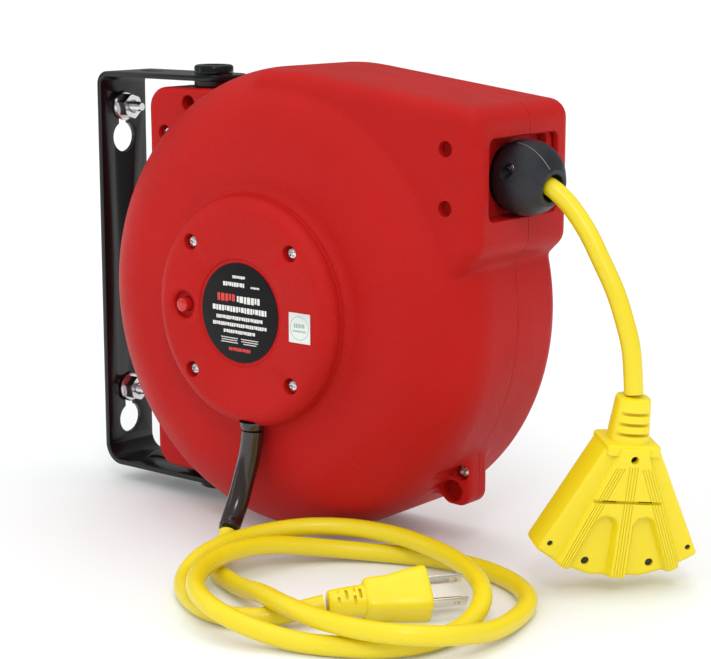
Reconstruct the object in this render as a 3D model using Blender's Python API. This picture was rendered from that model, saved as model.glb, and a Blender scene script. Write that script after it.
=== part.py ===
"""A wall-mounted, spring-rewound extension cord reel.

Metres, +Z up. The origin is the centre of the wall plate's back face. +X points out from the wall towards
the cord outlet, the round hub cover faces -Y, and Y = 0 is the seam between the two halves of the casing.
"""

import math

import bmesh
import bpy
from mathutils import Matrix, Vector

MM = 0.001
GAP = 0.3  # clearance between touching pieces
CASING_SIDES = 40
DRUM_SIDES = 32
TAU = 2 * math.pi

# Driving dimensions, in millimetres.
AXIS_X = 157.0  # the drum's axis, from the wall
PIVOT_X = 75.0  # the swivel's axis, from the wall
RIM_R = 124.3
WALL = 3.0
FRONT_DEPTH = 58.0  # seam to the front disc
FRONT_FILLET = 38.0
REAR_DEPTH = 39.0
REAR_FILLET = 10.0
CAVITY_R = RIM_R - WALL
HUB_R = 60.5
HUB_FACE_Y = -72.0
BOSS_Y = -63.0
BOX_FRONT_Y = -46.0
BOX_REAR_Y = 39.0
MOUTH_Y = -4.5  # the middle of the outlet opening
MOUTH_Z = (54.0, 94.0)
EAR_HALF = 20.0
EAR_Z = 109.0
PLATE = 3.0
STRIP_HALF = 18.0
FLANGE_Z = 113.0  # the inner face of each bracket arm
CORD_D = 9.4
BALL_R = 19.0
SEAT_X = 276.5  # the ball rests in a round seat in the outlet's inner plate
SEAT_R = 16.0
BALL = Vector((288.2, MOUTH_Y, 73.4))
BALL_TILT = math.radians(13)  # the cord leaves the ball this far below level
BALL_YAW = math.radians(-8)
BALL_ROLL = math.radians(23)  # the ball's split leans this far towards the hub side
ROLLER_X = 268.0
ROLLER_Z = (60.3, 89.2)
BUTTON_X = AXIS_X - 40.0
HUB_SCREW = 34.0
RELIEF_X = 159.5
RELIEF_Y = -65.3  # the lead leaves the hub at this depth

RED = (0.50, 0.022, 0.020)
YELLOW = (0.95, 0.72, 0.02)
BLACK = (0.012, 0.012, 0.013)
CHROME = (0.62, 0.62, 0.64)
STEEL = (0.45, 0.45, 0.46)
COPPER = (0.72, 0.36, 0.20)
NYLON = (0.035, 0.038, 0.045)
SILVER = (0.75, 0.76, 0.74)


def clear_scene():
    for old in list(bpy.data.objects):
        bpy.data.objects.remove(old, do_unlink=True)


def material(name, colour, roughness, metallic=0.0):
    made = bpy.data.materials.new(name)
    made.use_nodes = True
    shader = made.node_tree.nodes["Principled BSDF"]
    shader.inputs["Base Color"].default_value = (*colour, 1)
    shader.inputs["Roughness"].default_value = roughness
    shader.inputs["Metallic"].default_value = metallic
    return made


def place(name, bm, colour, roughness=0.5, metallic=0.0, at=(0, 0, 0), parent=None):
    """Turn a bmesh in millimetres, drawn about the point at, into a named object standing there."""
    bmesh.ops.remove_doubles(bm, verts=bm.verts, dist=0.0005)
    bmesh.ops.recalc_face_normals(bm, faces=bm.faces)
    bmesh.ops.scale(bm, vec=(MM, MM, MM), verts=bm.verts)
    mesh = bpy.data.meshes.new(name)
    bm.to_mesh(mesh)
    bm.free()
    mesh.shade_smooth()
    mesh.set_sharp_from_angle(angle=math.radians(35))
    obj = bpy.data.objects.new(name, mesh)
    obj.location = Vector(at) * MM
    mesh.materials.append(material(name, colour, roughness, metallic))
    bpy.context.scene.collection.objects.link(obj)
    if parent:
        obj.parent = parent
    return obj


# The exact solver leaves these open where a bore or groove meets a thin wall's facets.
MANIFOLD_CUTS = (
    "front_shell", "hub_cover", "plug_body", "tap_body", "cord_stop_near", "cord_stop_far", "wall_bracket",
)


def combine(obj, operation, *others):
    """Add or cut each of the other shapes, which become hidden helpers."""
    for other in others:
        other.hide_render = True
        other.display_type = "WIRE"
        step = obj.modifiers.new(f"{operation.lower()} {other.name}", "BOOLEAN")
        step.operation = operation
        step.solver = "MANIFOLD" if obj.name in MANIFOLD_CUTS else "EXACT"
        step.object = other
    return obj


def cut(obj, *others):
    return combine(obj, "DIFFERENCE", *others)


def join(obj, *others):
    return combine(obj, "UNION", *others)


# Shapes, all in millimetres about their own origin.


def skin(rings, closed=False):
    """Skin rings of the same number of points. closed joins the last to the first, else both get caps."""
    bm = bmesh.new()
    loops = [[bm.verts.new(p) for p in ring] for ring in rings]
    count = len(loops[0])
    pairs = list(zip(loops, loops[1:]))
    if closed:
        pairs.append((loops[-1], loops[0]))
    for low, high in pairs:
        for i in range(count):
            j = (i + 1) % count
            bm.faces.new((low[i], low[j], high[j], high[i]))
    if not closed:
        bm.faces.new(loops[0][::-1])
        bm.faces.new(loops[-1])
    return bm


def turned(profile, axis="Z", segments=32, start=0.0):
    """Turn a closed outline of (radius, height) points about an axis. Points at radius 0 lie on the axis."""
    bm = bmesh.new()
    rows = []
    for radius, height in profile:
        steps = 1 if radius == 0 else segments
        angles = [start + TAU * k / segments for k in range(steps)]
        rows.append([bm.verts.new((radius * math.cos(a), radius * math.sin(a), height)) for a in angles])
    for low, high in zip(rows, rows[1:] + rows[:1]):
        for i in range(segments):
            j = (i + 1) % segments
            corners = [low[i % len(low)], low[j % len(low)], high[j % len(high)], high[i % len(high)]]
            corners = list(dict.fromkeys(corners))
            if len(corners) > 2:
                bm.faces.new(corners)
    turn = {"Z": Matrix(), "Y": Matrix.Rotation(math.radians(-90), 4, "X")}
    turn["X"] = Matrix.Rotation(math.radians(90), 4, "Y")
    bmesh.ops.transform(bm, matrix=turn[axis], verts=bm.verts)
    return bm


def rod(radius, start, end, axis="Z", segments=20):
    return turned([(0, start), (radius, start), (radius, end), (0, end)], axis, segments)


def tube(inner, outer, start, end, axis="Z", segments=32):
    return turned([(inner, start), (outer, start), (outer, end), (inner, end)], axis, segments)


def block(low, high, bevel=0.0):
    bm = bmesh.new()
    bmesh.ops.create_cube(bm, size=1)
    size = [b - a for a, b in zip(low, high)]
    middle = [(a + b) / 2 for a, b in zip(low, high)]
    bmesh.ops.scale(bm, vec=size, verts=bm.verts)
    bmesh.ops.translate(bm, vec=middle, verts=bm.verts)
    if bevel:
        bmesh.ops.bevel(bm, geom=bm.edges[:], offset=bevel, segments=2, profile=0.5, affect="EDGES")
    return bm


def extruded(outline, low, high, axis="Y"):
    """Extrude a flat outline. Its points are (x, z) for axis Y, (y, z) for X and (x, y) for Z."""
    lift = {
        "Y": lambda a, b, c: (a, c, b),
        "X": lambda a, b, c: (c, a, b),
        "Z": lambda a, b, c: (a, b, c),
    }[axis]
    return skin([[lift(a, b, low) for a, b in outline], [lift(a, b, high) for a, b in outline]])


def arc(centre, radius, first, last, steps):
    """Points along an arc, its angles in degrees."""
    angles = [math.radians(first + (last - first) * k / steps) for k in range(steps + 1)]
    return [(centre[0] + radius * math.cos(a), centre[1] + radius * math.sin(a)) for a in angles]


def grown(core, radius, steps=2):
    """The outline of a convex anticlockwise polygon grown by a radius, with round corners."""
    points = []
    for i, corner in enumerate(core):
        before, after = core[i - 1], core[(i + 1) % len(core)]
        first = math.degrees(math.atan2(corner[1] - before[1], corner[0] - before[0])) - 90
        last = math.degrees(math.atan2(after[1] - corner[1], after[0] - corner[0])) - 90
        while last < first:
            last += 360
        points += arc(corner, radius, first, last, steps)
    return points


def cushion(core, radius, edge, low, high, steps=2):
    """A slab with a grown outline between two heights along Y, its edge rounded at the low side."""
    rings = []
    for k in range(3):
        turn = math.radians(90 * k / 2)
        inset = edge * (1 - math.sin(turn))
        rings.append((radius - inset, low + edge * (1 - math.cos(turn))))
    rings.append((radius, high))
    return skin([[(x, y, z) for x, z in grown(core, r, steps)] for r, y in rings])


def mirrored(bm):
    """Swap a shape's front and back."""
    bmesh.ops.scale(bm, vec=(1, -1, 1), verts=bm.verts)
    bmesh.ops.reverse_faces(bm, faces=bm.faces)
    return bm


def oblong(centre, length, width, steps=3):
    """A slot's outline, long along the first direction."""
    a, b = centre
    half = (length - width) / 2
    right = arc((a + half, b), width / 2, -90, 90, steps)
    return right + arc((a - half, b), width / 2, 90, 270, steps)


def smooth_route(route, per_span):
    """A smooth curve through every point of a route."""
    points = [Vector(p) for p in route]
    points = [2 * points[0] - points[1], *points, 2 * points[-1] - points[-2]]
    found = []
    for a, b, c, d in zip(points, points[1:], points[2:], points[3:]):
        for k in range(per_span):
            t = k / per_span
            square = (2 * a - 5 * b + 4 * c - d) * t**2
            cube = (3 * b - 3 * c + d - a) * t**3
            found.append((2 * b + (c - a) * t + square + cube) / 2)
    return [*found, points[-2]]


def spaced(points, spacing):
    """The same curve with points at an even spacing."""
    lengths = [0.0]
    for a, b in zip(points, points[1:]):
        lengths.append(lengths[-1] + (b - a).length)
    count = max(2, round(lengths[-1] / spacing))
    found, i = [], 0
    for k in range(count + 1):
        want = lengths[-1] * k / count
        while i < len(points) - 2 and lengths[i + 1] < want:
            i += 1
        share = (want - lengths[i]) / (lengths[i + 1] - lengths[i])
        found.append(points[i].lerp(points[i + 1], share))
    return found


def cord(name, points, radius, colour, roughness=0.4):
    """A round cord as a bevelled curve with filled caps."""
    curve = bpy.data.curves.new(name, "CURVE")
    curve.dimensions = "3D"
    curve.bevel_depth = radius * MM
    curve.bevel_resolution = 2
    curve.use_fill_caps = True
    line = curve.splines.new("POLY")
    line.points.add(len(points) - 1)
    for spot, point in zip(line.points, points):
        spot.co = (*(point * MM), 1)
    obj = bpy.data.objects.new(name, curve)
    curve.materials.append(material(name, colour, roughness))
    bpy.context.scene.collection.objects.link(obj)
    return obj


def helper(name, bm, at=(0, 0, 0), turn=None):
    """A cutter or an added shape."""
    obj = place(name, bm, RED, at=at)
    if turn:
        obj.matrix_world = Matrix.Translation(Vector(at) * MM) @ turn
    return obj


def screw(name, at, head_r, head_h, shank_r, shank, turn=None):
    """A pan head screw whose head faces -Y unless turned; at is the middle of the head's underside."""
    profile = [(0, -shank), (shank_r, -shank), (shank_r, 0), (head_r, 0), (head_r, head_h * 0.45)]
    profile += [(head_r * 0.72, head_h), (0, head_h)]
    bm = turned(profile, "Y", 12)
    bmesh.ops.rotate(bm, matrix=Matrix.Rotation(math.pi, 3, "Z"), verts=bm.verts)
    obj = place(name, bm, CHROME, 0.25, 1.0, at)
    if turn:
        obj.matrix_world = Matrix.Translation(Vector(at) * MM) @ turn
    slot = block((-head_r * 0.62, -head_h - 1, -head_r * 0.15), (head_r * 0.62, -head_h * 0.5, head_r * 0.15))
    cut(obj, helper(f"{name}_slot", slot, at, turn))
    return obj


# Casing.


def ridge(r_centre, y_centre, radius, steps):
    """The round edge of the casing's front, from the rim to the disc, as (radius, height)."""
    turns = [math.radians(90 * k / steps) for k in range(steps + 1)]
    return [(r_centre + radius * math.cos(t), y_centre + radius * math.sin(t)) for t in turns]


def about_axis(bm):
    """Put a shape turned about +Y, whose heights are depths in front of the seam, on the drum's axis."""
    bmesh.ops.scale(bm, vec=(1, -1, 1), verts=bm.verts)
    bmesh.ops.reverse_faces(bm, faces=bm.faces)
    return bm


AXIS = (AXIS_X, 0, 0)
BOX_CORE = [(150, 26), (259, 26), (276.4, 43), (276.4, 100.2), (172, 113.2), (150, 113.2)]
BOX_ROUND = 10.0
EAR_CORE = [(57, -97), (110, -97), (110, 97), (55, 97)]
LUG_CORE = [(247.4, -92.6), (251.2, -92.8), (251.2, -72), (236, -82)]
LUG_ROUND = 7.4
LUG_Y = (-9.0, 7.0)


def shell(name, sign, depth, fillet, box_y, boss):
    """One half of the casing, drawn in front of the seam; sign -1 is the front, +1 the rear.

    boss is where the socket for the main shaft ends."""
    outer = [(0, GAP / 2), (RIM_R, GAP / 2), *ridge(RIM_R - fillet, depth - fillet, fillet, 4), (0, depth)]
    inner = [(0, -1), (CAVITY_R, -1), *ridge(RIM_R - fillet, depth - fillet, fillet - WALL, 3)]
    inner += [(13, depth - WALL), (13, boss), (9, boss), (9, depth - WALL + 0.2), (0, depth - WALL + 0.2)]
    bm = turned(outer, "Y", CASING_SIDES)
    cavity = turned(inner, "Y", CASING_SIDES)
    parts = {
        "box": cushion(BOX_CORE, BOX_ROUND, 8, -box_y, -GAP / 2),
        "ears": cushion(EAR_CORE, 12, 3, -EAR_HALF, -GAP / 2),
        "lug": cushion(LUG_CORE, LUG_ROUND, 1.5, -abs(LUG_Y[sign > 0]), -GAP / 2),
    }
    room = cushion(BOX_CORE, BOX_ROUND - WALL, 5, -box_y + WALL, 1)
    if sign > 0:
        parts = {key: mirrored(shape) for key, shape in parts.items()}
        room = mirrored(room)
    else:
        about_axis(bm)
        about_axis(cavity)
    obj = place(name, bm, RED, 0.38, at=AXIS)
    join(obj, *[helper(f"{name}_{key}", shape) for key, shape in parts.items()])
    cut(obj, helper(f"{name}_cavity", cavity, AXIS))
    cut(obj, helper(f"{name}_room", room))
    mouth = extruded(
        grown([(MOUTH_Y - 26, MOUTH_Z[0] + 4), (MOUTH_Y + 26, MOUTH_Z[0] + 4),
               (MOUTH_Y + 26, MOUTH_Z[1] - 4), (MOUTH_Y - 26, MOUTH_Z[1] - 4)], 4, 3),
        272, 300, "X")
    cut(obj, helper(f"{name}_mouth", mouth))
    for z in (1, -1):
        bore = rod(4.4, 84, 120, segments=16)
        if z < 0:
            bmesh.ops.rotate(bore, matrix=Matrix.Rotation(math.pi, 3, "X"), verts=bore.verts)
        cut(obj, helper(f"{name}_pivot_bore_{z}", bore, (PIVOT_X, 0, 0)))
    return obj


CASE_SCREWS = [(55.2, 83.5, -EAR_HALF), (55.2, -83.5, -EAR_HALF), (253.5, -81.5, LUG_Y[0])]


PIN_HEAD_Y = -38.0
PIN_BOSS_Y = -33.8


def front_shell():
    obj = shell("front_shell", -1, FRONT_DEPTH, FRONT_FILLET, -BOX_FRONT_Y, 50)
    boss = tube(55.0, HUB_R, -FRONT_DEPTH + 0.5, BOSS_Y, "Y", CASING_SIDES)
    join(obj, helper("front_boss", boss, AXIS))
    for x in (1, -1):
        for z in (1, -1):
            spot = (AXIS_X + HUB_SCREW * x, 0, HUB_SCREW * z)
            cut(obj, helper(f"hub_bore_{x}_{z}", rod(2.0, -62, -50, "Y", 12), spot))
    cut(obj, helper("button_bore", rod(3.6, -62, -50, "Y", 16), (BUTTON_X, 0, 0)))
    for number, (x, z, y) in enumerate(CASE_SCREWS):
        cut(obj, helper(f"case_recess_{number}", rod(4.4, y - 20, y + 5, "Y", 16), (x, 0, z)))
        cut(obj, helper(f"case_bore_{number}", rod(2.3, y + 3, 1, "Y", 12), (x, 0, z)))
    blind = [(73.6, 100.7, 4.5, -9), (73.6, -100.7, 4.5, -9), (247.6, -92.4, 6.0, -1.5)]
    for number, (x, z, radius, floor) in enumerate(blind):
        cut(obj, helper(f"blind_hole_{number}", rod(radius, -24, floor, "Y", 16), (x, 0, z)))
    for number, z in enumerate(ROLLER_Z):
        boss = rod(6.2, BOX_FRONT_Y + 1.5, PIN_BOSS_Y, "Y", 14)
        join(obj, helper(f"pin_boss_{number}", boss, (ROLLER_X, 0, z)))
        cut(obj, helper(f"pin_bore_front_{number}", rod(2.6, -50, -30, "Y", 10), (ROLLER_X, 0, z)))
        cut(obj, helper(f"pin_recess_{number}", rod(4.0, -50, PIN_HEAD_Y, "Y", 14), (ROLLER_X, 0, z)))
    notch = rod(6.9, 52, 64, segments=20)
    bmesh.ops.rotate(notch, matrix=Matrix.Rotation(math.pi, 3, "X"), verts=notch.verts)
    cut(obj, helper("relief_notch_front", notch, (RELIEF_X, RELIEF_Y, 0)))
    return obj


def rear_shell():
    obj = shell("rear_shell", 1, REAR_DEPTH, REAR_FILLET, BOX_REAR_Y, 34.2)
    low, high = REAR_DEPTH - 0.5, REAR_DEPTH + 3
    boss = turned([(0, low), (44, low), (42, high), (0, high)], "Y", 32)
    join(obj, helper("rear_boss", boss, AXIS))
    for number, (x, z, _) in enumerate(CASE_SCREWS):
        depth = 5.5 if x > AXIS_X else 12
        cut(obj, helper(f"rear_screw_bore_{number}", rod(1.9, -1, depth, "Y", 12), (x, 0, z)))
    for number, z in enumerate(ROLLER_Z):
        cut(obj, helper(f"pin_bore_rear_{number}", rod(2.6, 28, 35.6, "Y", 12), (ROLLER_X, 0, z)))
    return obj


def hub_cover():
    depth = -HUB_FACE_Y
    low = -BOSS_Y + GAP
    dome = [(HUB_R - 9 + 9 * math.cos(t), depth - 8.4 + 8.4 * math.sin(t)) for t in
            [math.radians(90 * k / 3) for k in range(4)]]
    outline = [(0, depth - 2.6), (52, depth - 2.6), (54, low), (HUB_R, low), *dome, (0, depth)]
    obj = place("hub_cover", about_axis(turned(outline, "Y", CASING_SIDES)), RED, 0.38, at=AXIS)
    for x in (1, -1):
        for z in (1, -1):
            spot = (AXIS_X + HUB_SCREW * x, 0, HUB_SCREW * z)
            post = rod(5.6, -depth + 1, -low, "Y", 10)
            join(obj, helper(f"hub_post_{x}_{z}", post, spot))
            recess = rod(4.4, -depth - 1, -depth + 3.2, "Y", 12)
            cut(obj, helper(f"hub_recess_{x}_{z}", recess, spot))
            cut(obj, helper(f"hub_post_bore_{x}_{z}", rod(2.0, -depth, -low + 1, "Y", 8), spot))
    cut(obj, helper("label_recess", rod(27.2, -depth - 1, -depth + 0.9, "Y", 32), AXIS))
    dish = [(0, -depth + 1.6), (4.6, -depth + 1.6), (8.6, -depth - 0.4), (0, -depth - 0.4)]
    cut(obj, helper("button_dish", turned(dish, "Y", 16), (BUTTON_X, 0, 0)))
    cut(obj, helper("button_hole", rod(3.6, -depth - 1, -depth + 5, "Y", 16), (BUTTON_X, 0, 0)))
    notch = rod(6.9, 52, 64, segments=20)
    bmesh.ops.rotate(notch, matrix=Matrix.Rotation(math.pi, 3, "X"), verts=notch.verts)
    cut(obj, helper("relief_notch_cover", notch, (RELIEF_X, RELIEF_Y, 0)))
    return obj


def hub_trim():
    label = rod(26.1, HUB_FACE_Y + 0.1, HUB_FACE_Y + 0.6, "Y", 32)
    place("hub_label", label, BLACK, 0.3, at=AXIS)
    sticker = block((-7, HUB_FACE_Y - 0.5, -7.7), (7, HUB_FACE_Y - GAP / 2, 7.7))
    place("hub_sticker", sticker, SILVER, 0.3, 0.6, (AXIS_X + 41, 0, -3))
    number = 0
    for z in (1, -1):
        for x in (-1, 1):
            number += 1
            spot = (AXIS_X + HUB_SCREW * x, HUB_FACE_Y + 2.9, HUB_SCREW * z)
            screw(f"hub_screw_{number}", spot, 3.7, 2.2, 1.6, 16)
    for number, (x, z, y) in enumerate(CASE_SCREWS, 1):
        screw(f"case_screw_{number}", (x, y + 4.7, z), 3.9, 2.6, 1.5, 9 if x > AXIS_X else 24)


def reset_button():
    """A red push button in a dish; it slides +Y against its spring."""
    profile = [(0, -57.4), (2.4, -57.4), (2.4, -66), (3.2, -66), (3.2, -72.3), (2.2, -73.2), (0, -73.4)]
    place("reset_button", turned(profile, "Y", 20), RED, 0.35, at=(BUTTON_X, 0, 0))


def outlet_guide():
    """The frame inside the outlet and the two rollers that the cord runs between."""
    left, right = MOUTH_Y - 27, MOUTH_Y + 27
    outer = grown([(left, 52), (right, 52), (right, 96.5), (left, 96.5)], 4, 3)
    left, right = MOUTH_Y - 22, MOUTH_Y + 22
    inner = grown([(left, 57.2), (right, 57.2), (right, 90.9), (left, 90.9)], 3, 3)
    frame = place("outlet_frame", extruded(outer, 274.5, 282.6, "X"), RED, 0.45)
    cut(frame, helper("outlet_frame_mouth", extruded(inner, SEAT_X, 290, "X")))
    cut(frame, helper("outlet_frame_seat", rod(SEAT_R, 270, 290, "X", 40), (0, MOUTH_Y, BALL.z)))
    for name, z in zip(("lower", "upper"), ROLLER_Z):
        spot = (ROLLER_X, 0, z)
        head = PIN_HEAD_Y - GAP
        pin = [(0, head - 1.5), (3.6, head - 1.5), (3.6, head), (2.2, head), (2.2, 35.2), (0, 35.2)]
        place(f"roller_pin_{name}", turned(pin, "Y", 16), STEEL, 0.3, 1.0, spot)
        profile = [(2.6, -32), (5.0, -32), (4.4, MOUTH_Y), (5.0, 23), (2.6, 23)]
        place(f"roller_{name}", turned(profile, "Y", 24), NYLON, 0.45, at=spot)


# Drum.

DRUM_FRONT_Y = -40.3
DRUM_REAR_Y = 14.3
FLANGE_R = 110.0
SHAFT_R = 8.6
BORE_R = 9.0
COIL_R = 84.0


def drum():
    front, rear = DRUM_FRONT_Y, DRUM_REAR_Y
    carrier = [(BORE_R, -49.4), (17.6, -49.4), (17.6, front), (FLANGE_R, front), (FLANGE_R, front + 3),
               (BORE_R, front + 3)]
    place("drum_front_flange", turned(carrier, "Y", DRUM_SIDES), NYLON, 0.5, at=AXIS)
    open_end = front + 3.3
    core = [(BORE_R, open_end), (12, open_end), (12, 11), (38, 11), (38, open_end), (42, open_end),
            (42, rear), (FLANGE_R, rear), (FLANGE_R, rear + 3), (61, rear + 3), (61, 31.7), (58, 31.7),
            (58, rear + 3), (BORE_R, rear + 3)]
    place("drum_core", turned(core, "Y", DRUM_SIDES), NYLON, 0.5, at=AXIS)
    bumps, turns = [], 5
    start, pitch = front + 3.5, (rear - 0.2 - front - 3.5) / turns
    for k in range(turns):
        middle = start + pitch * (k + 0.5)
        bumps += [(COIL_R - 2.4, middle - pitch / 2), (COIL_R - 0.6, middle - pitch / 4), (COIL_R, middle),
                  (COIL_R - 0.6, middle + pitch / 4)]
    bumps.append((COIL_R - 2.4, start + pitch * turns))
    wound = [(42.4, bumps[-1][1]), (42.4, start), *bumps]
    place("wound_cord", turned(wound, "Y", 24), YELLOW, 0.4, at=AXIS)
    for number, y in enumerate((-48.8, -46.0, -43.2), 1):
        ring = tube(17.9, 20, y, y + 2, "Y", 24)
        place(f"slip_ring_{number}", ring, COPPER, 0.25, 1.0, AXIS)
    mainspring()
    place("spring_cover", tube(BORE_R, 61, 32.1, 33.3, "Y", DRUM_SIDES), STEEL, 0.35, 1.0, AXIS)
    ratchet_wheel()


def mainspring():
    """A flat strip wound in a spiral, as one rigid piece."""
    turns, steps, thick = 5, 16, 0.7
    inner, outer = 12.6, 56.5
    rings = []
    for k in range(turns * steps + 1):
        angle = TAU * k / steps
        radius = inner + (outer - inner) * k / (turns * steps)
        along = (math.cos(angle), math.sin(angle))
        near, far = radius - thick / 2, radius + thick / 2
        rings.append([(near * along[0], 18.2, near * along[1]), (far * along[0], 18.2, far * along[1]),
                      (far * along[0], 31.2, far * along[1]), (near * along[0], 31.2, near * along[1])])
    place("mainspring", skin(rings), STEEL, 0.3, 1.0, AXIS)


TEETH = 12
WHEEL_OUT = 44.0
WHEEL_ROOT = 39.0


def ratchet_wheel():
    """A ring with saw teeth; each tooth has a steep face that the pawl holds."""
    points = []
    for k in range(TEETH):
        first = TAU * k / TEETH
        slope = ((0.0, WHEEL_ROOT), (0.04, WHEEL_OUT), (0.35, 42.6), (0.7, 40.6), (0.95, WHEEL_ROOT))
        for share, radius in slope:
            angle = first + TAU / TEETH * share
            points.append((radius * math.cos(angle), radius * math.sin(angle)))
    wheel = place("ratchet_wheel", extruded(points, -43.3, -40.6), STEEL, 0.35, 1.0, AXIS)
    cut(wheel, helper("ratchet_bore", rod(34, -46, -38, "Y", 24), AXIS))


PAWL = (AXIS_X + 20, 0, -56.0)


def pawl():
    """A pin on the front shell with a hook that drops into the ratchet's teeth."""
    pin = [(0, -54.6), (3.4, -54.6), (3.4, -44.5), (2.2, -44.5), (2.2, -41), (0, -41)]
    place("pawl_pin", turned(pin, "Y", 16), STEEL, 0.3, 1.0, PAWL)
    outline = [(-4.5, -3.5), (0, -5.0), (4.6, -2.6), (5.0, 2.6), (1.5, 5.2), (-6, 6.6), (-15.6, 11.8),
               (-17, 8.8)]
    hook = place("ratchet_pawl", extruded(outline, -43.3, -41.2), STEEL, 0.35, 1.0, PAWL)
    cut(hook, helper("pawl_bore", rod(2.6, -45, -40, "Y", 16), PAWL))


def inner_parts():
    shaft = [(0, -54.6), (SHAFT_R, -54.6), (SHAFT_R, 35.6), (0, 35.6)]
    place("main_shaft", turned(shaft, "Y", 24), STEEL, 0.3, 1.0, AXIS)
    place("breaker_body", block((-9, -54.6, -6), (9, -44.2, 6), 1), BLACK, 0.4, at=(BUTTON_X, 0, 0))
    brush = place("brush_block", block((-8, -54.6, -33), (8, -41.5, -19.5), 1), NYLON, 0.5, at=AXIS)
    cut(brush, helper("brush_arc", rod(20.4, -60, -38, "Y", 24), AXIS))


# Bracket.


def bracket():
    top, low = FLANGE_Z + PLATE, -FLANGE_Z - PLATE
    top_bend, low_bend = 8.0, 12.0
    outside = [(PIVOT_X, low), (PIVOT_X, low + PLATE)]
    outside += arc((low_bend, low + low_bend), low_bend - PLATE, 270, 180, 6)
    outside += arc((top_bend, top - top_bend), top_bend - PLATE, 180, 90, 5)
    outside += [(PIVOT_X, top - PLATE), (PIVOT_X, top)]
    outside += arc((top_bend, top - top_bend), top_bend, 90, 180, 6)
    outside += arc((low_bend, low + low_bend), low_bend, 180, 270, 7)
    strip = place("wall_bracket", extruded(outside, -STRIP_HALF, STRIP_HALF), BLACK, 0.25)
    for name, z in (("upper", FLANGE_Z), ("lower", -top)):
        end = rod(STRIP_HALF, z, z + PLATE, segments=28)
        join(strip, helper(f"bracket_end_{name}", end, (PIVOT_X, 0, 0)))
        cut(strip, helper(f"bracket_bore_{name}", rod(4.4, z - 1, z + 4, segments=20), (PIVOT_X, 0, 0)))
        slot = extruded(oblong((27, 0), 16, 6), z - 1, z + 4, "Z")
        cut(strip, helper(f"bracket_slot_{name}", slot))
    for name, stud, hole in (("upper", STUD_Z[0], 77.0), ("lower", STUD_Z[1], -92.0)):
        slot = [(-4.0, hole), (4.0, hole), *arc((0, stud), 4.0, 0, 180, 8)]
        cut(strip, helper(f"keyhole_slot_{name}", extruded(slot, -2, 6, "X")))
        cut(strip, helper(f"keyhole_round_{name}", rod(8.75, -2, 6, "X", 20), (0, 0, hole)))
    return strip


STUD_Z = (95.0, -73.0)


def bracket_fixings():
    for name, sign in (("upper", 1), ("lower", -1)):
        washer = tube(4.4, 11, FLANGE_Z - GAP, EAR_Z + GAP, segments=20)
        under, head = FLANGE_Z + PLATE + GAP, FLANGE_Z + PLATE + GAP + 5
        outline = [(0, 86), (4, 86), (4, under), (11, under), (11, head - 1.2), (9.6, head), (0, head)]
        bolt = turned(outline, "Z", 20)
        if sign < 0:
            for shape in (washer, bolt):
                bmesh.ops.rotate(shape, matrix=Matrix.Rotation(math.pi, 3, "X"), verts=shape.verts)
        spot = (PIVOT_X, 0, 0)
        place(f"pivot_washer_{name}", washer, BLACK, 0.5, at=spot)
        bolt = place(f"pivot_bolt_{name}", bolt, BLACK, 0.3, at=spot)
        for number, (wide, tall) in enumerate(((5.4, 1.2), (1.2, 5.4))):
            low, high = sorted((sign * (head - 2), sign * (head + 1)))
            cross = block((-wide, -tall, low), (wide, tall, high))
            cut(bolt, helper(f"bolt_cross_{name}_{number}", cross, spot))
    for name, z in zip(("upper", "lower"), STUD_Z):
        stud = turned([(0, GAP), (3, GAP), (3, 17), (2, 18), (0, 18)], "X", 16)
        place(f"wall_stud_{name}", stud, CHROME, 0.25, 1.0, (0, 0, z))
        nut = turned([(3.3, 3.3), (8.6, 3.3), (8.6, 4.6), (8.0, 4.7), (8.0, 11), (3.3, 11)], "X", 16)
        nut = place(f"wall_nut_{name}", nut, CHROME, 0.25, 1.0, (0, 0, z))
        hexagon = [(7.6 * math.cos(TAU * k / 6), 7.6 * math.sin(TAU * k / 6)) for k in range(6)]
        outside = extruded(hexagon, 4, 20, "X")
        around = rod(14, 4.9, 19, "X", 24)
        ring = helper(f"nut_trim_{name}", around, (0, 0, z))
        cut(ring, helper(f"nut_hexagon_{name}", outside, (0, 0, z)))
        cut(nut, ring)


# Cords and what is on them.

LEAD_ROUTE = [
    (161.2, -87.2, -113), (165, -94.5, -118.4), (171, -105, -121.3), (178, -115, -121.3),
    (191, -123.5, -121.3), (213, -134, -119.5), (238, -148, -113.5), (261, -158.5, -111.2),
    (285, -163, -111.2), (309, -162, -111.2), (329, -154, -111.4), (341, -136, -114), (343, -108, -119),
    (337, -78, -121.3), (328, -58, -121.3), (313, -44, -121.3), (294, -35.5, -121.3),
    (275, -32.5, -121.3), (257, -34.5, -121.3), (240, -40, -121.3), (221, -50, -120.5),
    (204, -66, -117.8), (193, -87, -113.5), (189, -109, -111.3), (191, -131, -111.2),
    (201, -152.5, -111.2), (217, -169.5, -111.3), (236, -179, -112.5), (253, -180, -115.5),
    (267, -175.5, -119), (281, -170, -121.3), (296, -164, -121.3), (310, -156, -121.3),
    (321, -143.5, -121.3), (326.5, -126, -121.3), (327, -107, -120), (323.5, -91, -116.3),
    (316, -79.5, -112.6), (303, -68, -111.2), (283, -55, -111.2), (259, -46, -111.1), (236, -43, -110.5),
    (215, -48, -109.7), (198, -59, -109.4), (186, -73.5, -109.9), (179, -90, -110.8),
    (176.5, -109, -111.4), (176, -126, -114.8), (180, -139.5, -119.6), (193, -152.5, -121.3),
    (212, -163, -121.3), (230, -165, -121.3), (244, -157.5, -121.3), (255, -146.5, -119.5),
    (265.9, -135.2, -116.1),
]
DROP_ROUTE = [
    (312.2, MOUTH_Y, 62.4), (323.0, MOUTH_Y, 50.1), (331.6, MOUTH_Y, 36.3), (339.6, MOUTH_Y, 22.4),
    (345.3, MOUTH_Y, 8.5), (349.6, MOUTH_Y, -6), (351.6, MOUTH_Y, -26.8),
]
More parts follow.
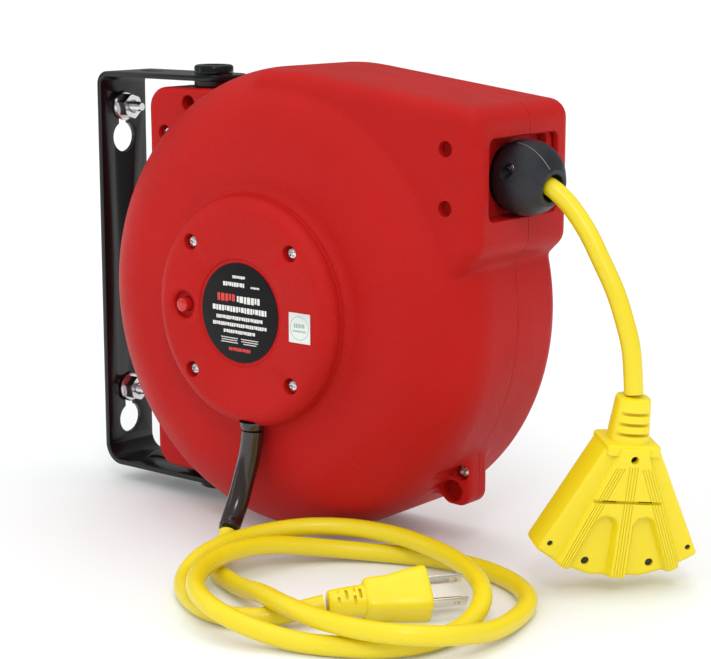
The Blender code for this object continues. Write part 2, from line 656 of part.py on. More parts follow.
RELIEF_ROUTE = [
    (RELIEF_X, RELIEF_Y, -53), (RELIEF_X, RELIEF_Y, -64), (158.3, -66.5, -76.2), (156.8, -69.5, -88.5),
    (156.8, -74, -99.3), (158, -80.3, -107.8), (160.2, -85.4, -111.8),
]
PLUG = Vector((266.6, -134.4, -115.8))
PLUG_AIM = math.atan2(0.79, 0.61)
PLUG_ROLL = math.radians(40)


def lead():
    points = spaced(smooth_route(LEAD_ROUTE, 12), 17)
    cord("lead_cord", points, CORD_D / 2, YELLOW)
    route = spaced(smooth_route(RELIEF_ROUTE, 8), 5)
    turn = next(k for k, p in enumerate(route) if p.z < -66)
    above = [*route[:turn], route[turn].lerp(route[turn - 1], 0.06)]
    below = route[turn:]
    collar = cord("lead_relief_collar", above, 6.5, BLACK, 0.25)
    collar.data.bevel_resolution = 3
    sleeve = cord("lead_relief_sleeve", below, 5.9, BLACK, 0.25)
    sleeve.data.bevel_resolution = 3
    plug()


def plug():
    turn = Matrix.Rotation(PLUG_AIM, 4, "Z") @ Matrix.Rotation(PLUG_ROLL, 4, "X")
    rows = [(0.4, 6.2, 6.2), (16, 8.2, 7.6), (19, 8.6, 8.0), (23, 11.6, 11.2), (30, 11.2, 10.6),
            (41, 12.2, 11.6), (47, 12.6, 12.0), (48.2, 11.8, 11.2)]
    rings = []
    for x, wide, tall in rows:
        angles = [TAU * (k + 0.5) / 16 for k in range(16)]
        power = 1.0 if x < 20 else 0.55
        rings.append([(x, wide * math.copysign(abs(math.cos(a)) ** power, math.cos(a)),
                       tall * math.copysign(abs(math.sin(a)) ** power, math.sin(a))) for a in angles])
    body = place("plug_body", skin(rings), YELLOW, 0.35, at=PLUG)
    body.matrix_world = Matrix.Translation(PLUG * MM) @ turn
    for k, x in enumerate((5, 8.6, 12.2, 15.8)):
        side = 1 if k % 2 else -1
        for z in (1, -1):
            low, high = sorted((4.2 * z, 12 * z))
            groove = block((x - 0.7, -9 if side < 0 else -2.2, low), (x + 0.7, 2.2 if side < 0 else 9, high))
            cut(body, helper(f"plug_groove_{k}_{z}", groove, PLUG, turn))
    for name, side in (("hot", -1), ("neutral", 1)):
        middle = 6.35 * side
        flat = block((48.6, middle - 0.75, -0.2), (66.2, middle + 0.75, 6.15), 0.3)
        blade = place(f"plug_blade_{name}", flat, SILVER, 0.2, 1.0)
        blade.matrix_world = body.matrix_world
        hole = rod(1.6, -10, 10, "Y", 12)
        bmesh.ops.translate(hole, vec=(61, 0, 3), verts=hole.verts)
        cut(blade, helper(f"blade_hole_{name}", hole, PLUG, turn))
    pin = turned([(0, 48.6), (2.4, 48.6), (2.4, 66.4), (1.6, 68.2), (0, 69)], "X", 16)
    bmesh.ops.translate(pin, vec=(0, 0, -7.6), verts=pin.verts)
    ground = place("plug_ground_pin", pin, SILVER, 0.2, 1.0)
    ground.matrix_world = body.matrix_world


BALL_AIM = Matrix.Rotation(BALL_YAW, 4, "Z") @ Matrix.Rotation(BALL_TILT, 4, "Y")
BALL_FRAME = BALL_AIM @ Matrix.Rotation(BALL_ROLL, 4, "X")
STOP_SCREW = Vector((1.3, -9.6, 11.4))


def cord_stop():
    """A ball in two halves, clamped on the cord by a screw, with a nose that the cord leaves."""
    back = [(BALL_R * math.cos(t), BALL_R * math.sin(t)) for t in
            [math.radians(a) for a in range(161, 40, -19)]]
    profile = [(5.5, -18.2), *[(r, x) for x, r in back], (9.8, 16.6), (9.2, 17.4), (7.0, 17.4), (6.6, 13.0),
               (5.5, 11.0)]
    for name, sign in (("near", -1), ("far", 1)):
        half = place(f"cord_stop_{name}", turned(profile, "X", 24), NYLON, 0.42, at=BALL)
        half.matrix_world = Matrix.Translation(BALL * MM) @ BALL_FRAME
        low, high = (-0.15, 30) if sign < 0 else (-30, 0.15)
        cut(half, helper(f"cord_stop_split_{name}", block((-30, low, -30), (30, high, 30)), BALL, BALL_FRAME))
        if sign < 0:
            recess = rod(3.4, -25, -9.2, "Y", 16)
            bmesh.ops.translate(recess, vec=(STOP_SCREW.x, 0, STOP_SCREW.z), verts=recess.verts)
            cut(half, helper("cord_stop_recess", recess, BALL, BALL_FRAME))
        bore = rod(2.0, -16, 12, "Y", 12)
        bmesh.ops.translate(bore, vec=(STOP_SCREW.x, 0, STOP_SCREW.z), verts=bore.verts)
        cut(half, helper(f"cord_stop_bore_{name}", bore, BALL, BALL_FRAME))
    screw("cord_stop_screw", BALL + BALL_FRAME.to_3x3() @ STOP_SCREW, 2.8, 2.0, 1.6, 18, BALL_FRAME)


def outlet_cords():
    aim = BALL_AIM.to_3x3() @ Vector((1, 0, 0))
    inside = BALL - aim * 2
    feed = [Vector((172, MOUTH_Y, 88.9)), Vector((222, -3.4, 85.0)), BALL - aim * 25, BALL - aim * 16,
            inside - aim * 0.4]
    cord("feed_cord", spaced(smooth_route(feed, 8), 9), CORD_D / 2, YELLOW)
    drop = smooth_route([inside, BALL + aim * 8, BALL + aim * 16, *DROP_ROUTE], 8)
    cord("outlet_cord", spaced(drop, 9), CORD_D / 2, YELLOW)


TAP = Vector((351.6, MOUTH_Y, -27.6))
TAP_TURN = math.radians(49)
TAP_LEAN = math.radians(7.5)
TAP_HALF = 15.0


def triple_tap():
    """A fan with an outlet in each of its three lower faces, hung from a grooved neck."""
    turn = Matrix.Rotation(TAP_LEAN, 4, "Y") @ Matrix.Rotation(TAP_TURN, 4, "Z")
    fan = [(-13, -22.6), (-15, -26), (-41, -77), (-28, -84.8), (-13, -89.4), (13, -89.4), (28, -84.8),
           (41, -77), (15, -26), (13, -22.6)]
    body = place("tap_body", extruded(fan, -TAP_HALF, TAP_HALF), YELLOW, 0.35, at=TAP)
    body.matrix_world = Matrix.Translation(TAP * MM) @ turn
    neck = [(0, -26), (11.5, -26), (10.6, -22)]
    for k in range(3):
        low = -19.6 + 5.4 * k
        size = 10.1 - 0.7 * k
        neck += [(size - 1.6, low - 1.4), (size - 1.6, low), (size, low + 0.5), (size - 0.3, low + 3.2)]
    neck += [(8.1, -2.0), (7.2, -0.5), (5.8, -0.3), (0, -0.3)]
    join(body, helper("tap_neck", turned(neck, "Z", 14), TAP, turn))
    recess, clear = TAP_HALF - 1.6, TAP_HALF + 5
    for name, low, high in (("front", -clear, -recess), ("back", recess, clear)):
        for number, x in enumerate((-13.5, 13.5)):
            arch = [(x - 4.5, -80), (x + 4.5, -80), *arc((x, -64), 4.5, 0, 180, 4)]
            cut(body, helper(f"tap_arch_{name}_{number}", extruded(arch, low, high), TAP, turn))
        plate = extruded(oblong((0, -50.5), 38, 3.0), low, high)
        cut(body, helper(f"tap_slot_{name}", plate, TAP, turn))
    faces = [((-25.8, -85.2), math.radians(-27)), ((0, -89.4), 0.0), ((25.8, -85.2), math.radians(27))]
    for number, ((x, z), lean) in enumerate(faces):
        outward = turn @ Matrix.Translation(Vector((x, 0, z)) * MM) @ Matrix.Rotation(-lean, 4, "Y")
        for side in (-1, 1):
            slot = block((-3.6, 6.35 * side - 0.9, -4), (3.6, 6.35 * side + 0.9, 10))
            cutter = helper(f"tap_slot_{number}_{side}", slot)
            cutter.matrix_world = Matrix.Translation(TAP * MM) @ outward
            cut(body, cutter)
        ground = rod(2.7, -4, 10, segments=12)
        bmesh.ops.translate(ground, vec=(-6.6, 0, 0), verts=ground.verts)
        cutter = helper(f"tap_ground_{number}", ground)
        cutter.matrix_world = Matrix.Translation(TAP * MM) @ outward
        cut(body, cutter)
    for number, x in enumerate((-35.2, -16.4, 16.4, 35.2), 1):
        z = -73.4 if abs(x) > 30 else -81.9
        spot = Vector((x, -TAP_HALF - GAP, z))
        rivet = place(f"tap_rivet_{number}", rod(2.2, -0.9, 0, "Y", 16), BLACK, 0.3, 0.8)
        rivet.matrix_world = Matrix.Translation(TAP * MM) @ turn @ Matrix.Translation(spot * MM)


def build():
    clear_scene()
    bracket()
    bracket_fixings()
    front_shell()
    rear_shell()
    hub_cover()
    hub_trim()
    reset_button()
    outlet_guide()
    drum()
    inner_parts()
    pawl()
    lead()
    cord_stop()
    outlet_cords()
    triple_tap()


build()
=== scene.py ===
"""The looks of a wall-mounted extension cord reel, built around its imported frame.

Shapes are drawn in millimetres in the frame's own axes: the origin is the centre of the wall plate's back,
+X points out from the wall, the hub faces -Y, and Y = 0 is the seam between the casing's halves.
"""

import math

import bmesh
import bpy
import numpy as np
from mathutils import Matrix, Vector


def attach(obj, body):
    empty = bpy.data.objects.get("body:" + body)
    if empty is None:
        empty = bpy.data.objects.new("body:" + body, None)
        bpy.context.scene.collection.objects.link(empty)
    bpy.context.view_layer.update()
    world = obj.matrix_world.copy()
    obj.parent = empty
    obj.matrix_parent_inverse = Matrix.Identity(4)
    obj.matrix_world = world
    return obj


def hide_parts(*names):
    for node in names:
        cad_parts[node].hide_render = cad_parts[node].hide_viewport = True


MM = 0.001
TAU = 2 * math.pi

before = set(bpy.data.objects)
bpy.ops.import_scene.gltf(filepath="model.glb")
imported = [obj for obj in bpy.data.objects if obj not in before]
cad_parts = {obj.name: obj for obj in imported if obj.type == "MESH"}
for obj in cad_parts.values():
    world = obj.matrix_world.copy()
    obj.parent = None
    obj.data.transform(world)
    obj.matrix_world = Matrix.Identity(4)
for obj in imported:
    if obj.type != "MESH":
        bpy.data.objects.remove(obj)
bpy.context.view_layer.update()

# Sizes shared with the frame, in millimetres.
AXIS_X = 157.0
PIVOT_X = 75.0
PIVOT_BORE = 4.4
RIM_R = 124.3
WALL = 3.0
SEAM = 0.15
FRONT_Y = -58.0
REAR_Y = 39.0
FRONT_EDGE = 38.0
REAR_EDGE = 10.0
HUB_R = 60.5
HUB_FACE_Y = -72.0
BOSS_Y = -63.0
BOX_X = 286.4
MOUTH_Y = -4.5
CORD_D = 9.4
FLOOR_Z = -126.0
BALL_R = 19.0
BALL = Vector((288.2, MOUTH_Y, 73.4))
BALL_TILT = math.radians(13)
BALL_YAW = math.radians(-8)
BALL_ROLL = math.radians(23)
SEAT_X = 276.5
SEAT_R = 16.0
TAP = Vector((351.6, MOUTH_Y, -27.6))
TAP_TURN = math.radians(49)
TAP_LEAN = math.radians(7.5)
PLUG = Vector((266.6, -134.4, -115.8))
PLUG_AIM = math.atan2(0.79, 0.61)
PLUG_ROLL = math.radians(40)
RELIEF_X = 159.5
RELIEF_Y = -65.3
BLADE_Y = 6.35
BUTTON_X = 117.0
HUB_SCREWS = [(AXIS_X + x, z) for z in (34.0, -34.0) for x in (-34.0, 34.0)]
FLANGE_Z = 113.0
PLATE = 3.0
ROLLER_X = 268.0
ROLLER_Z = (60.3, 89.2)
STUD_Z = (95.0, -73.0)
CASE_SCREWS = [(55.2, 83.5, -20.0), (55.2, -83.5, -20.0), (253.5, -81.5, -9.0)]
HUB_SPOT = (AXIS_X, 0, 0)
UPSIDE_DOWN = Matrix.Rotation(math.pi, 4, "X")


# Materials.


def added(tree, kind, operation=None, **values):
    """A new shader node, with values on the inputs that they name."""
    node = tree.nodes.new(f"ShaderNode{kind}")
    if operation:
        node.operation = operation
    return filled(node, values)


def filled(node, values):
    for socket, value in values.items():
        node.inputs[socket.replace("_", " ")].default_value = value
    return node


def shader(name, colour, roughness, **more):
    made = bpy.data.materials.new(name)
    made.use_nodes = True
    tree = made.node_tree
    bsdf = tree.nodes["Principled BSDF"]
    return made, tree, filled(bsdf, {"Base Color": (*colour, 1), "Roughness": roughness, **more})


def noise(tree, scale, detail):
    found = added(tree, "TexNoise", Scale=scale, Detail=detail)
    tree.links.new(added(tree, "TexCoord").outputs["Object"], found.inputs["Vector"])
    return found.outputs["Fac"]


def ramped(tree, source, low, high, start=0.3, end=0.7):
    """A grey or a colour that runs from low to high as the source goes from start to end."""
    ramp = tree.nodes.new("ShaderNodeValToRGB")
    for element, value, spot in zip(ramp.color_ramp.elements, (low, high), (start, end)):
        element.position = spot
        element.color = (*value, 1) if isinstance(value, tuple) else (value, value, value, 1)
    tree.links.new(source, ramp.inputs["Fac"])
    return ramp.outputs["Color"]


def bumped(tree, bsdf, height, strength, distance):
    bump = added(tree, "Bump", Strength=strength, Distance=distance)
    tree.links.new(height, bump.inputs["Height"])
    tree.links.new(bump.outputs["Normal"], bsdf.inputs["Normal"])


def grained(name, colour, roughness, grain, strength, distance=0.0002, vary=0.08, **more):
    """A finish with fine grain, slow changes of tone and slow changes of gloss."""
    made, tree, bsdf = shader(name, colour, roughness, **more)
    bumped(tree, bsdf, noise(tree, grain, 3.0), strength, distance)
    low = tuple(c * (1 - vary) for c in colour)
    high = tuple(min(1.0, c * (1 + vary)) for c in colour)
    tree.links.new(ramped(tree, noise(tree, 14.0, 4.0), low, high), bsdf.inputs["Base Color"])
    gloss = ramped(tree, noise(tree, 40.0, 5.0), roughness * 0.88, roughness * 1.12)
    tree.links.new(gloss, bsdf.inputs["Roughness"])
    return made


CASING_RED = grained("casing_red", (0.43, 0.0080, 0.0065), 0.44, 1100, 0.75, 0.0005, vary=0.07,
                    Specular_IOR_Level=0.11)
BUTTON_RED = grained("button_red", (0.48, 0.010, 0.009), 0.25, 500, 0.1, Coat_Weight=0.3,
                     Coat_Roughness=0.1)
CORD_YELLOW = grained("cord_yellow", (0.76, 0.605, 0.010), 0.34, 260, 0.25, 0.0003, vary=0.03)
MOULDED_YELLOW = grained("moulded_yellow", (0.81, 0.65, 0.010), 0.34, 900, 0.15, vary=0.03)
BLACK_PAINT = grained("black_paint", (0.003, 0.004, 0.005), 0.24, 420, 0.12, Coat_Weight=0.15,
                      Coat_Roughness=0.08, Specular_IOR_Level=0.3)
BLACK_PLASTIC = grained("black_plastic", (0.012, 0.012, 0.014), 0.38, 900, 0.2)
CHARCOAL = grained("charcoal_plastic", (0.010, 0.012, 0.018), 0.38, 1500, 0.9, 0.0004, vary=0.2,
                   Specular_IOR_Level=0.45)
SEAM_GREY = grained("seam_grey", (0.16, 0.17, 0.19), 0.4, 900, 0.1)
RELIEF_BLACK = grained("relief_black", (0.016, 0.009, 0.007), 0.2, 200, 0.12, Coat_Weight=0.5,
                       Coat_Roughness=0.1)
LABEL_BLACK = grained("label_black", (0.006, 0.006, 0.007), 0.36, 700, 0.05, Specular_IOR_Level=0.15)
LABEL_PALE = grained("label_pale", (0.72, 0.72, 0.70), 0.4, 700, 0.05)
LABEL_RED = grained("label_red", (0.62, 0.03, 0.025), 0.4, 700, 0.05)
CHROME = grained("chrome", (0.72, 0.72, 0.74), 0.2, 600, 0.08, Metallic=1.0)
NICKEL = grained("blade_nickel", (0.80, 0.78, 0.74), 0.24, 700, 0.08, Metallic=1.0)
FOIL = grained("silver_foil", (0.74, 0.78, 0.75), 0.38, 900, 0.15, Metallic=0.55)
FOIL_INK = grained("foil_ink", (0.30, 0.42, 0.36), 0.45, 900, 0.05)
RIVET_DARK = grained("rivet_dark", (0.03, 0.03, 0.032), 0.4, 800, 0.2, Metallic=0.6)
# Near black, as painted shade at the bottoms of the tap's fixing holes and contact slits.
HOLE_DARK = grained("hole_dark", (0.008, 0.006, 0.003), 0.7, 800, 0.1, Specular_IOR_Level=0.1)
BRASS = grained("brass", (0.72, 0.46, 0.18), 0.3, 600, 0.1, Metallic=1.0)
NYLON = grained("roller_nylon", (0.035, 0.036, 0.04), 0.45, 900, 0.2)
STEEL = grained("steel", (0.45, 0.45, 0.46), 0.34, 500, 0.15, Metallic=1.0)
FINISH = {
    finish.name.split(".")[0]: finish
    for finish in (CASING_RED, BUTTON_RED, CORD_YELLOW, MOULDED_YELLOW, BLACK_PAINT, BLACK_PLASTIC, CHROME,
                   LABEL_BLACK, FOIL, RELIEF_BLACK, CHARCOAL, NICKEL, RIVET_DARK, BRASS, NYLON, STEEL)
}


# Shapes, each a bmesh in millimetres.


def placed(bm, at=(0, 0, 0), turn=None):
    """Move a shape drawn about its own origin to its place."""
    matrix = Matrix.Translation(Vector(at))
    if turn is not None:
        matrix = matrix @ turn
    bmesh.ops.transform(bm, matrix=matrix, verts=bm.verts)
    return bm


def skin(rings, closed=False):
    """Skin rings of the same number of points. The last one joins the first, or both are capped."""
    bm = bmesh.new()
    loops = [[bm.verts.new(p) for p in ring] for ring in rings]
    count = len(loops[0])
    pairs = list(zip(loops, loops[1:]))
    if closed:
        pairs.append((loops[-1], loops[0]))
    for low, high in pairs:
        for i in range(count):
            j = (i + 1) % count
            bm.faces.new((low[i], low[j], high[j], high[i]))
    if not closed:
        bm.faces.new(loops[0][::-1])
        bm.faces.new(loops[-1])
    bmesh.ops.recalc_face_normals(bm, faces=bm.faces)
    return bm


AXIS_TURN = {
    "Z": Matrix(),
    "Y": Matrix.Rotation(math.radians(-90), 4, "X"),
    "X": Matrix.Rotation(math.radians(90), 4, "Y"),
}


def turned(profile, axis="Z", segments=64):
    """Turn a closed outline of (radius, height) points about an axis. Points at radius 0 lie on the axis."""
    bm = bmesh.new()
    rows = []
    for radius, height in profile:
        steps = 1 if radius == 0 else segments
        spots = [TAU * k / segments for k in range(steps)]
        rows.append([bm.verts.new((radius * math.cos(a), radius * math.sin(a), height)) for a in spots])
    for low, high in zip(rows, rows[1:] + rows[:1]):
        for i in range(segments):
            j = (i + 1) % segments
            corners = [low[i % len(low)], low[j % len(low)], high[j % len(high)], high[i % len(high)]]
            corners = list(dict.fromkeys(corners))
            if len(corners) > 2:
                bm.faces.new(corners)
    bmesh.ops.transform(bm, matrix=AXIS_TURN[axis], verts=bm.verts)
    bmesh.ops.recalc_face_normals(bm, faces=bm.faces)
    return bm


def rod(radius, start, end, axis="Z", segments=40):
    return turned([(0, start), (radius, start), (radius, end), (0, end)], axis, segments)


def block(low, high, bevel=0.0, segments=2):
    bm = bmesh.new()
    bmesh.ops.create_cube(bm, size=1)
    bmesh.ops.scale(bm, vec=[b - a for a, b in zip(low, high)], verts=bm.verts)
    bmesh.ops.translate(bm, vec=[(a + b) / 2 for a, b in zip(low, high)], verts=bm.verts)
    if bevel:
        bmesh.ops.bevel(bm, geom=bm.edges[:], offset=bevel, segments=segments, profile=0.5, affect="EDGES")
    return bm


LIFT = {
    "Y": lambda a, b, c: (a, c, b),
    "X": lambda a, b, c: (c, a, b),
    "Z": lambda a, b, c: (a, b, c),
}


def extruded(outline, low, high, axis="Y"):
    """Extrude a flat outline. Its points are (x, z) for axis Y, (y, z) for X and (x, y) for Z."""
    lift = LIFT[axis]
    return skin([[lift(a, b, low) for a, b in outline], [lift(a, b, high) for a, b in outline]])


def arc(centre, radius, first, last, steps):
    turns = [math.radians(first + (last - first) * k / steps) for k in range(steps + 1)]
    return [(centre[0] + radius * math.cos(a), centre[1] + radius * math.sin(a)) for a in turns]


def grown(core, radius, steps=8):
    """The outline of a convex anticlockwise polygon grown by a radius, with round corners."""
    points = []
    for i, corner in enumerate(core):
        before, after = core[i - 1], core[(i + 1) % len(core)]
        first = math.degrees(math.atan2(corner[1] - before[1], corner[0] - before[0])) - 90
        last = math.degrees(math.atan2(after[1] - corner[1], after[0] - corner[0])) - 90
        while last < first:
            last += 360
        points += arc(corner, radius, first, last, steps)
    return points


def oblong(centre, length, width, steps=10):
    a, b = centre
    half = (length - width) / 2
    right = arc((a + half, b), width / 2, -90, 90, steps)
    return right + arc((a - half, b), width / 2, 90, 270, steps)


def cushioned(core, radius, edge, low, high, rounds=5):
    """A slab across Y with a grown outline, whose two faces have round edges."""
    levels = []
    for k in range(rounds + 1):
        turn = math.radians(90 * k / rounds)
        levels.append((radius - edge * (1 - math.sin(turn)), edge * (1 - math.cos(turn))))
    rows = [(r, low + rise) for r, rise in levels] + [(r, high - rise) for r, rise in reversed(levels)]
    return skin([[(a, level, b) for a, b in grown(core, r)] for r, level in rows])


def well(radius, floor, top, lip=0.5, segments=32):
    """A cutter along Y for a round hole from its floor to the surface at top, with a soft edge."""
    out = 1 if top > floor else -1
    profile = [(0, floor), (radius - 0.4, floor), (radius, floor + 0.4 * out), (radius, top - lip * out),
               (radius + lip * 0.3, top - lip * 0.35 * out), (radius + lip, top),
               (radius + lip, top + 4 * out),
               (0, top + 4 * out)]
    return turned(profile, "Y", segments)


def smooth_route(route, per_span):
    """A smooth curve through every point of a route."""
    points = [Vector(p) for p in route]
    points = [2 * points[0] - points[1], *points, 2 * points[-1] - points[-2]]
    found = []
    for a, b, c, d in zip(points, points[1:], points[2:], points[3:]):
        for k in range(per_span):
            t = k / per_span
            square = (2 * a - 5 * b + 4 * c - d) * t**2
            cube = (3 * b - 3 * c + d - a) * t**3
            found.append((2 * b + (c - a) * t + square + cube) / 2)
    return [*found, points[-2]]


def spaced(points, spacing):
    """The same curve with points at an even spacing, and its length."""
    lengths = [0.0]
    for a, b in zip(points, points[1:]):
        lengths.append(lengths[-1] + (b - a).length)
    count = max(2, round(lengths[-1] / spacing))
    found, i = [], 0
    for k in range(count + 1):
        want = lengths[-1] * k / count
        while i < len(points) - 2 and lengths[i + 1] < want:
            i += 1
        share = (want - lengths[i]) / (lengths[i + 1] - lengths[i])
        found.append(points[i].lerp(points[i + 1], share))
    return found, lengths[-1]


def swept(points, radii, segments=40):
    """A round bar along points, with a radius at each."""
    rings = []
    side = Vector((0, 1, 0))
    for k, point in enumerate(points):
        ahead = (points[min(k + 1, len(points) - 1)] - points[max(k - 1, 0)]).normalized()
        side = (side - ahead * side.dot(ahead)).normalized()
        other = ahead.cross(side)
        spots = [TAU * i / segments for i in range(segments)]
        rings.append([point + (side * math.cos(a) + other * math.sin(a)) * radii[k] for a in spots])
    return skin(rings)


# Objects.

SHARP = math.radians(32)


def placed_object(name, data):
    obj = bpy.data.objects.new(name, data)
    bpy.context.scene.collection.objects.link(obj)
    return obj


def shown(name, bm, material, replaces=None, body="housing", sharp=SHARP):
    """Make a piece from a shape in millimetres. A finished one says what it replaces, and joins its body."""
    bmesh.ops.scale(bm, vec=(MM, MM, MM), verts=bm.verts)
    mesh = bpy.data.meshes.new(name)
    bm.to_mesh(mesh)
    bm.free()
    mesh.shade_smooth()
    mesh.set_sharp_from_angle(angle=sharp)
    mesh.materials.append(material)
    obj = placed_object(name, mesh)
    if replaces is not None:
        joined(obj, replaces, body)
    return obj


def joined(obj, replaces, body="housing"):
    """Ride a piece on its body, in place of the frame's nodes."""
    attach(obj, body)
    if replaces:
        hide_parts(*replaces)
    return obj


def carved(obj, cutters=(), adds=(), sharp=SHARP, bevel=0.0):
    """Add shapes to an object, cut others from it, and keep only the result."""
    helpers = []
    for operation, shapes in (("UNION", adds), ("DIFFERENCE", cutters)):
        for shape in shapes:
            other = shown("helper", shape, obj.data.materials[0])
            step = obj.modifiers.new("carve", "BOOLEAN")
            step.operation = operation
            step.solver = "MANIFOLD"
            step.object = other
            helpers.append(other)
    if bevel:
        edge = obj.modifiers.new("edge", "BEVEL")
        edge.width = bevel * MM
        edge.segments = 2
        edge.limit_method = "ANGLE"
        edge.angle_limit = math.radians(50)
        edge.use_clamp_overlap = True
    bpy.context.view_layer.update()
    graph = bpy.context.evaluated_depsgraph_get()
    made = bpy.data.meshes.new_from_object(obj.evaluated_get(graph))
    obj.modifiers.clear()
    old = obj.data
    obj.data = made
    made.name = obj.name
    bpy.data.meshes.remove(old)
    for helper in helpers:
        mesh = helper.data
        bpy.data.objects.remove(helper, do_unlink=True)
        bpy.data.meshes.remove(mesh)
    made.shade_smooth()
    made.set_sharp_from_angle(angle=sharp)
    return obj


def cord_curve(name, points, diameter, material):
    curve = bpy.data.curves.new(name, "CURVE")
    curve.dimensions = "3D"
    curve.bevel_depth = diameter / 2 * MM
    curve.bevel_resolution = 8
    curve.use_fill_caps = True
    line = curve.splines.new("POLY")
    line.points.add(len(points) - 1)
    for spot, point in zip(line.points, points):
        spot.co = (*(point * MM), 1)
    line.use_smooth = True
    curve.materials.append(material)
    return placed_object(name, curve)


# Casing: one smooth outside for both halves, then cut apart and hollowed.

BOX_CORE = [(150, 26), (259, 26), (276.4, 43), (276.4, 100.2), (172, 113.2), (150, 113.2)]
EAR_CORE = [(57, -97), (110, -97), (110, 97), (55, 97)]
LUG_CORE = [(247.4, -92.6), (251.2, -92.8), (251.2, -72), (236, -82)]
# Each slab's outline, what it is grown by, its round edge and its two faces, then how widely it blends in.
SLABS = [
    ((BOX_CORE, 10.0, 8.5, -46.0, 38.6), 5.0),
    ((EAR_CORE, 12.0, 3.0, -20.0, 20.0), 5.0),
    ((LUG_CORE, 7.4, 1.8, -9.0, 7.0), 6.0),
]
BOX_ROOM = (BOX_CORE, 7.0, 5.0, -43.0, 36.0)
VOXEL = 1.6 * MM


def polygon_distance(x, z, core):
    """Signed distance to a convex anticlockwise polygon."""
    nearest = np.full(x.shape, np.inf)
    inside = np.ones(x.shape, bool)
    for (ax, az), (bx, bz) in zip(core, core[1:] + core[:1]):
        ex, ez = bx - ax, bz - az
        wx, wz = x - ax, z - az
        share = np.clip((wx * ex + wz * ez) / (ex * ex + ez * ez), 0, 1)
        nearest = np.minimum(nearest, np.hypot(wx - ex * share, wz - ez * share))
        inside &= ex * wz - ez * wx > 0
    return np.where(inside, -nearest, nearest)


def rounded_join(a, b, edge):
    """Where two slabs meet, with a round edge."""
    a, b = a + edge, b + edge
    return np.minimum(np.maximum(a, b), 0) + np.hypot(np.maximum(a, 0), np.maximum(b, 0)) - edge


def slab_distance(p, core, radius, edge, low, high):
    flat = polygon_distance(p[:, 0], p[:, 2], core) - radius
    return rounded_join(flat, abs(p[:, 1] - (low + high) / 2) - (high - low) / 2, edge)


def pillow_distance(p):
    """The round body, with a wide round edge in front and a narrow one behind."""
    middle, half = (FRONT_Y + REAR_Y) / 2, (REAR_Y - FRONT_Y) / 2
    edge = np.where(p[:, 1] < middle, FRONT_EDGE, REAR_EDGE)
    flat = np.hypot(p[:, 0] - AXIS_X, p[:, 2]) - RIM_R
    return rounded_join(flat, abs(p[:, 1] - middle) - half, edge)


CASING_PARTS = [(pillow_distance, 0)]
CASING_PARTS += [(lambda p, slab=slab: slab_distance(p, *slab), blend) for slab, blend in SLABS]


def casing_distance(p):
    """Distance to the casing's outside, and its direction. Parts blend more where they meet at an angle."""
    step = 0.05
    found = None
    for distance, blend in CASING_PARTS:
        here = distance(p)
        slope = np.stack([distance(p + step * axis) - here for axis in np.eye(3)], axis=1) / step
        slope /= np.linalg.norm(slope, axis=1, keepdims=True) + 1e-9
        if found is None:
            found, way = here, slope
            continue
        reach = blend * np.clip(1 - (slope * way).sum(axis=1), 0, 1) + 0.01
        share = np.clip(0.5 + 0.5 * (here - found) / reach, 0, 1)
        found = here + (found - here) * share - reach * share * (1 - share)
        way = slope + (way - slope) * share[:, None]
        way /= np.linalg.norm(way, axis=1, keepdims=True) + 1e-9
    return found, way


def facing_front(bm):
    """Mirror a shape drawn towards +Y, so that it faces the hub side."""
    bmesh.ops.scale(bm, vec=(1, -1, 1), verts=bm.verts)
    bmesh.ops.reverse_faces(bm, faces=bm.faces)
    return bm


def rough_casing():
    """A closed mesh of even squares near the casing's outside."""
    corner = (RIM_R - FRONT_EDGE, -FRONT_Y - FRONT_EDGE)
    edge = [(corner[0] + FRONT_EDGE * math.cos(a), corner[1] + FRONT_EDGE * math.sin(a))
            for a in np.linspace(0, math.pi / 2, 12)]
    corner = (RIM_R - REAR_EDGE, REAR_EDGE - REAR_Y)
    back = [(corner[0] + REAR_EDGE * math.cos(a), corner[1] - REAR_EDGE * math.sin(a))
            for a in np.linspace(math.pi / 2, 0, 6)]
    bm = facing_front(placed(turned([(0, -FRONT_Y), (0, -REAR_Y), *back, *edge], "Y", 96), HUB_SPOT))
    for slab, _ in SLABS:
        extra = cushioned(*slab)
        mesh = bpy.data.meshes.new("extra")
        extra.to_mesh(mesh)
        bm.from_mesh(mesh)
        bpy.data.meshes.remove(mesh)
    obj = shown("casing", bm, CASING_RED)
    remesh = obj.modifiers.new("even", "REMESH")
    remesh.mode = "VOXEL"
    remesh.voxel_size = VOXEL
    return carved(obj)


def settle(obj, distance, rounds=14):
    """Slide a mesh's points evenly apart while pulling them onto the surface where the distance is nought."""
    mesh = obj.data
    p = np.empty(len(mesh.vertices) * 3)
    mesh.vertices.foreach_get("co", p)
    p = p.reshape(-1, 3) / MM
    ends = np.empty(len(mesh.edges) * 2, np.int64)
    mesh.edges.foreach_get("vertices", ends)
    a, b = ends.reshape(-1, 2).T
    count = np.bincount(a, minlength=len(p)) + np.bincount(b, minlength=len(p))
    for turn in range(rounds):
        total = np.zeros_like(p)
        for k in range(3):
            total[:, k] = np.bincount(a, p[b, k], len(p)) + np.bincount(b, p[a, k], len(p))
        away, way = distance(p)
        if turn < rounds - 3:
            slide = total / count[:, None] - p
            slide -= way * (slide * way).sum(axis=1, keepdims=True)
            p += 0.5 * slide
            away, way = distance(p)
        p -= way * np.clip(away, -2.5, 2.5)[:, None]
    mesh.vertices.foreach_set("co", (p * MM).ravel())
    mesh.update()


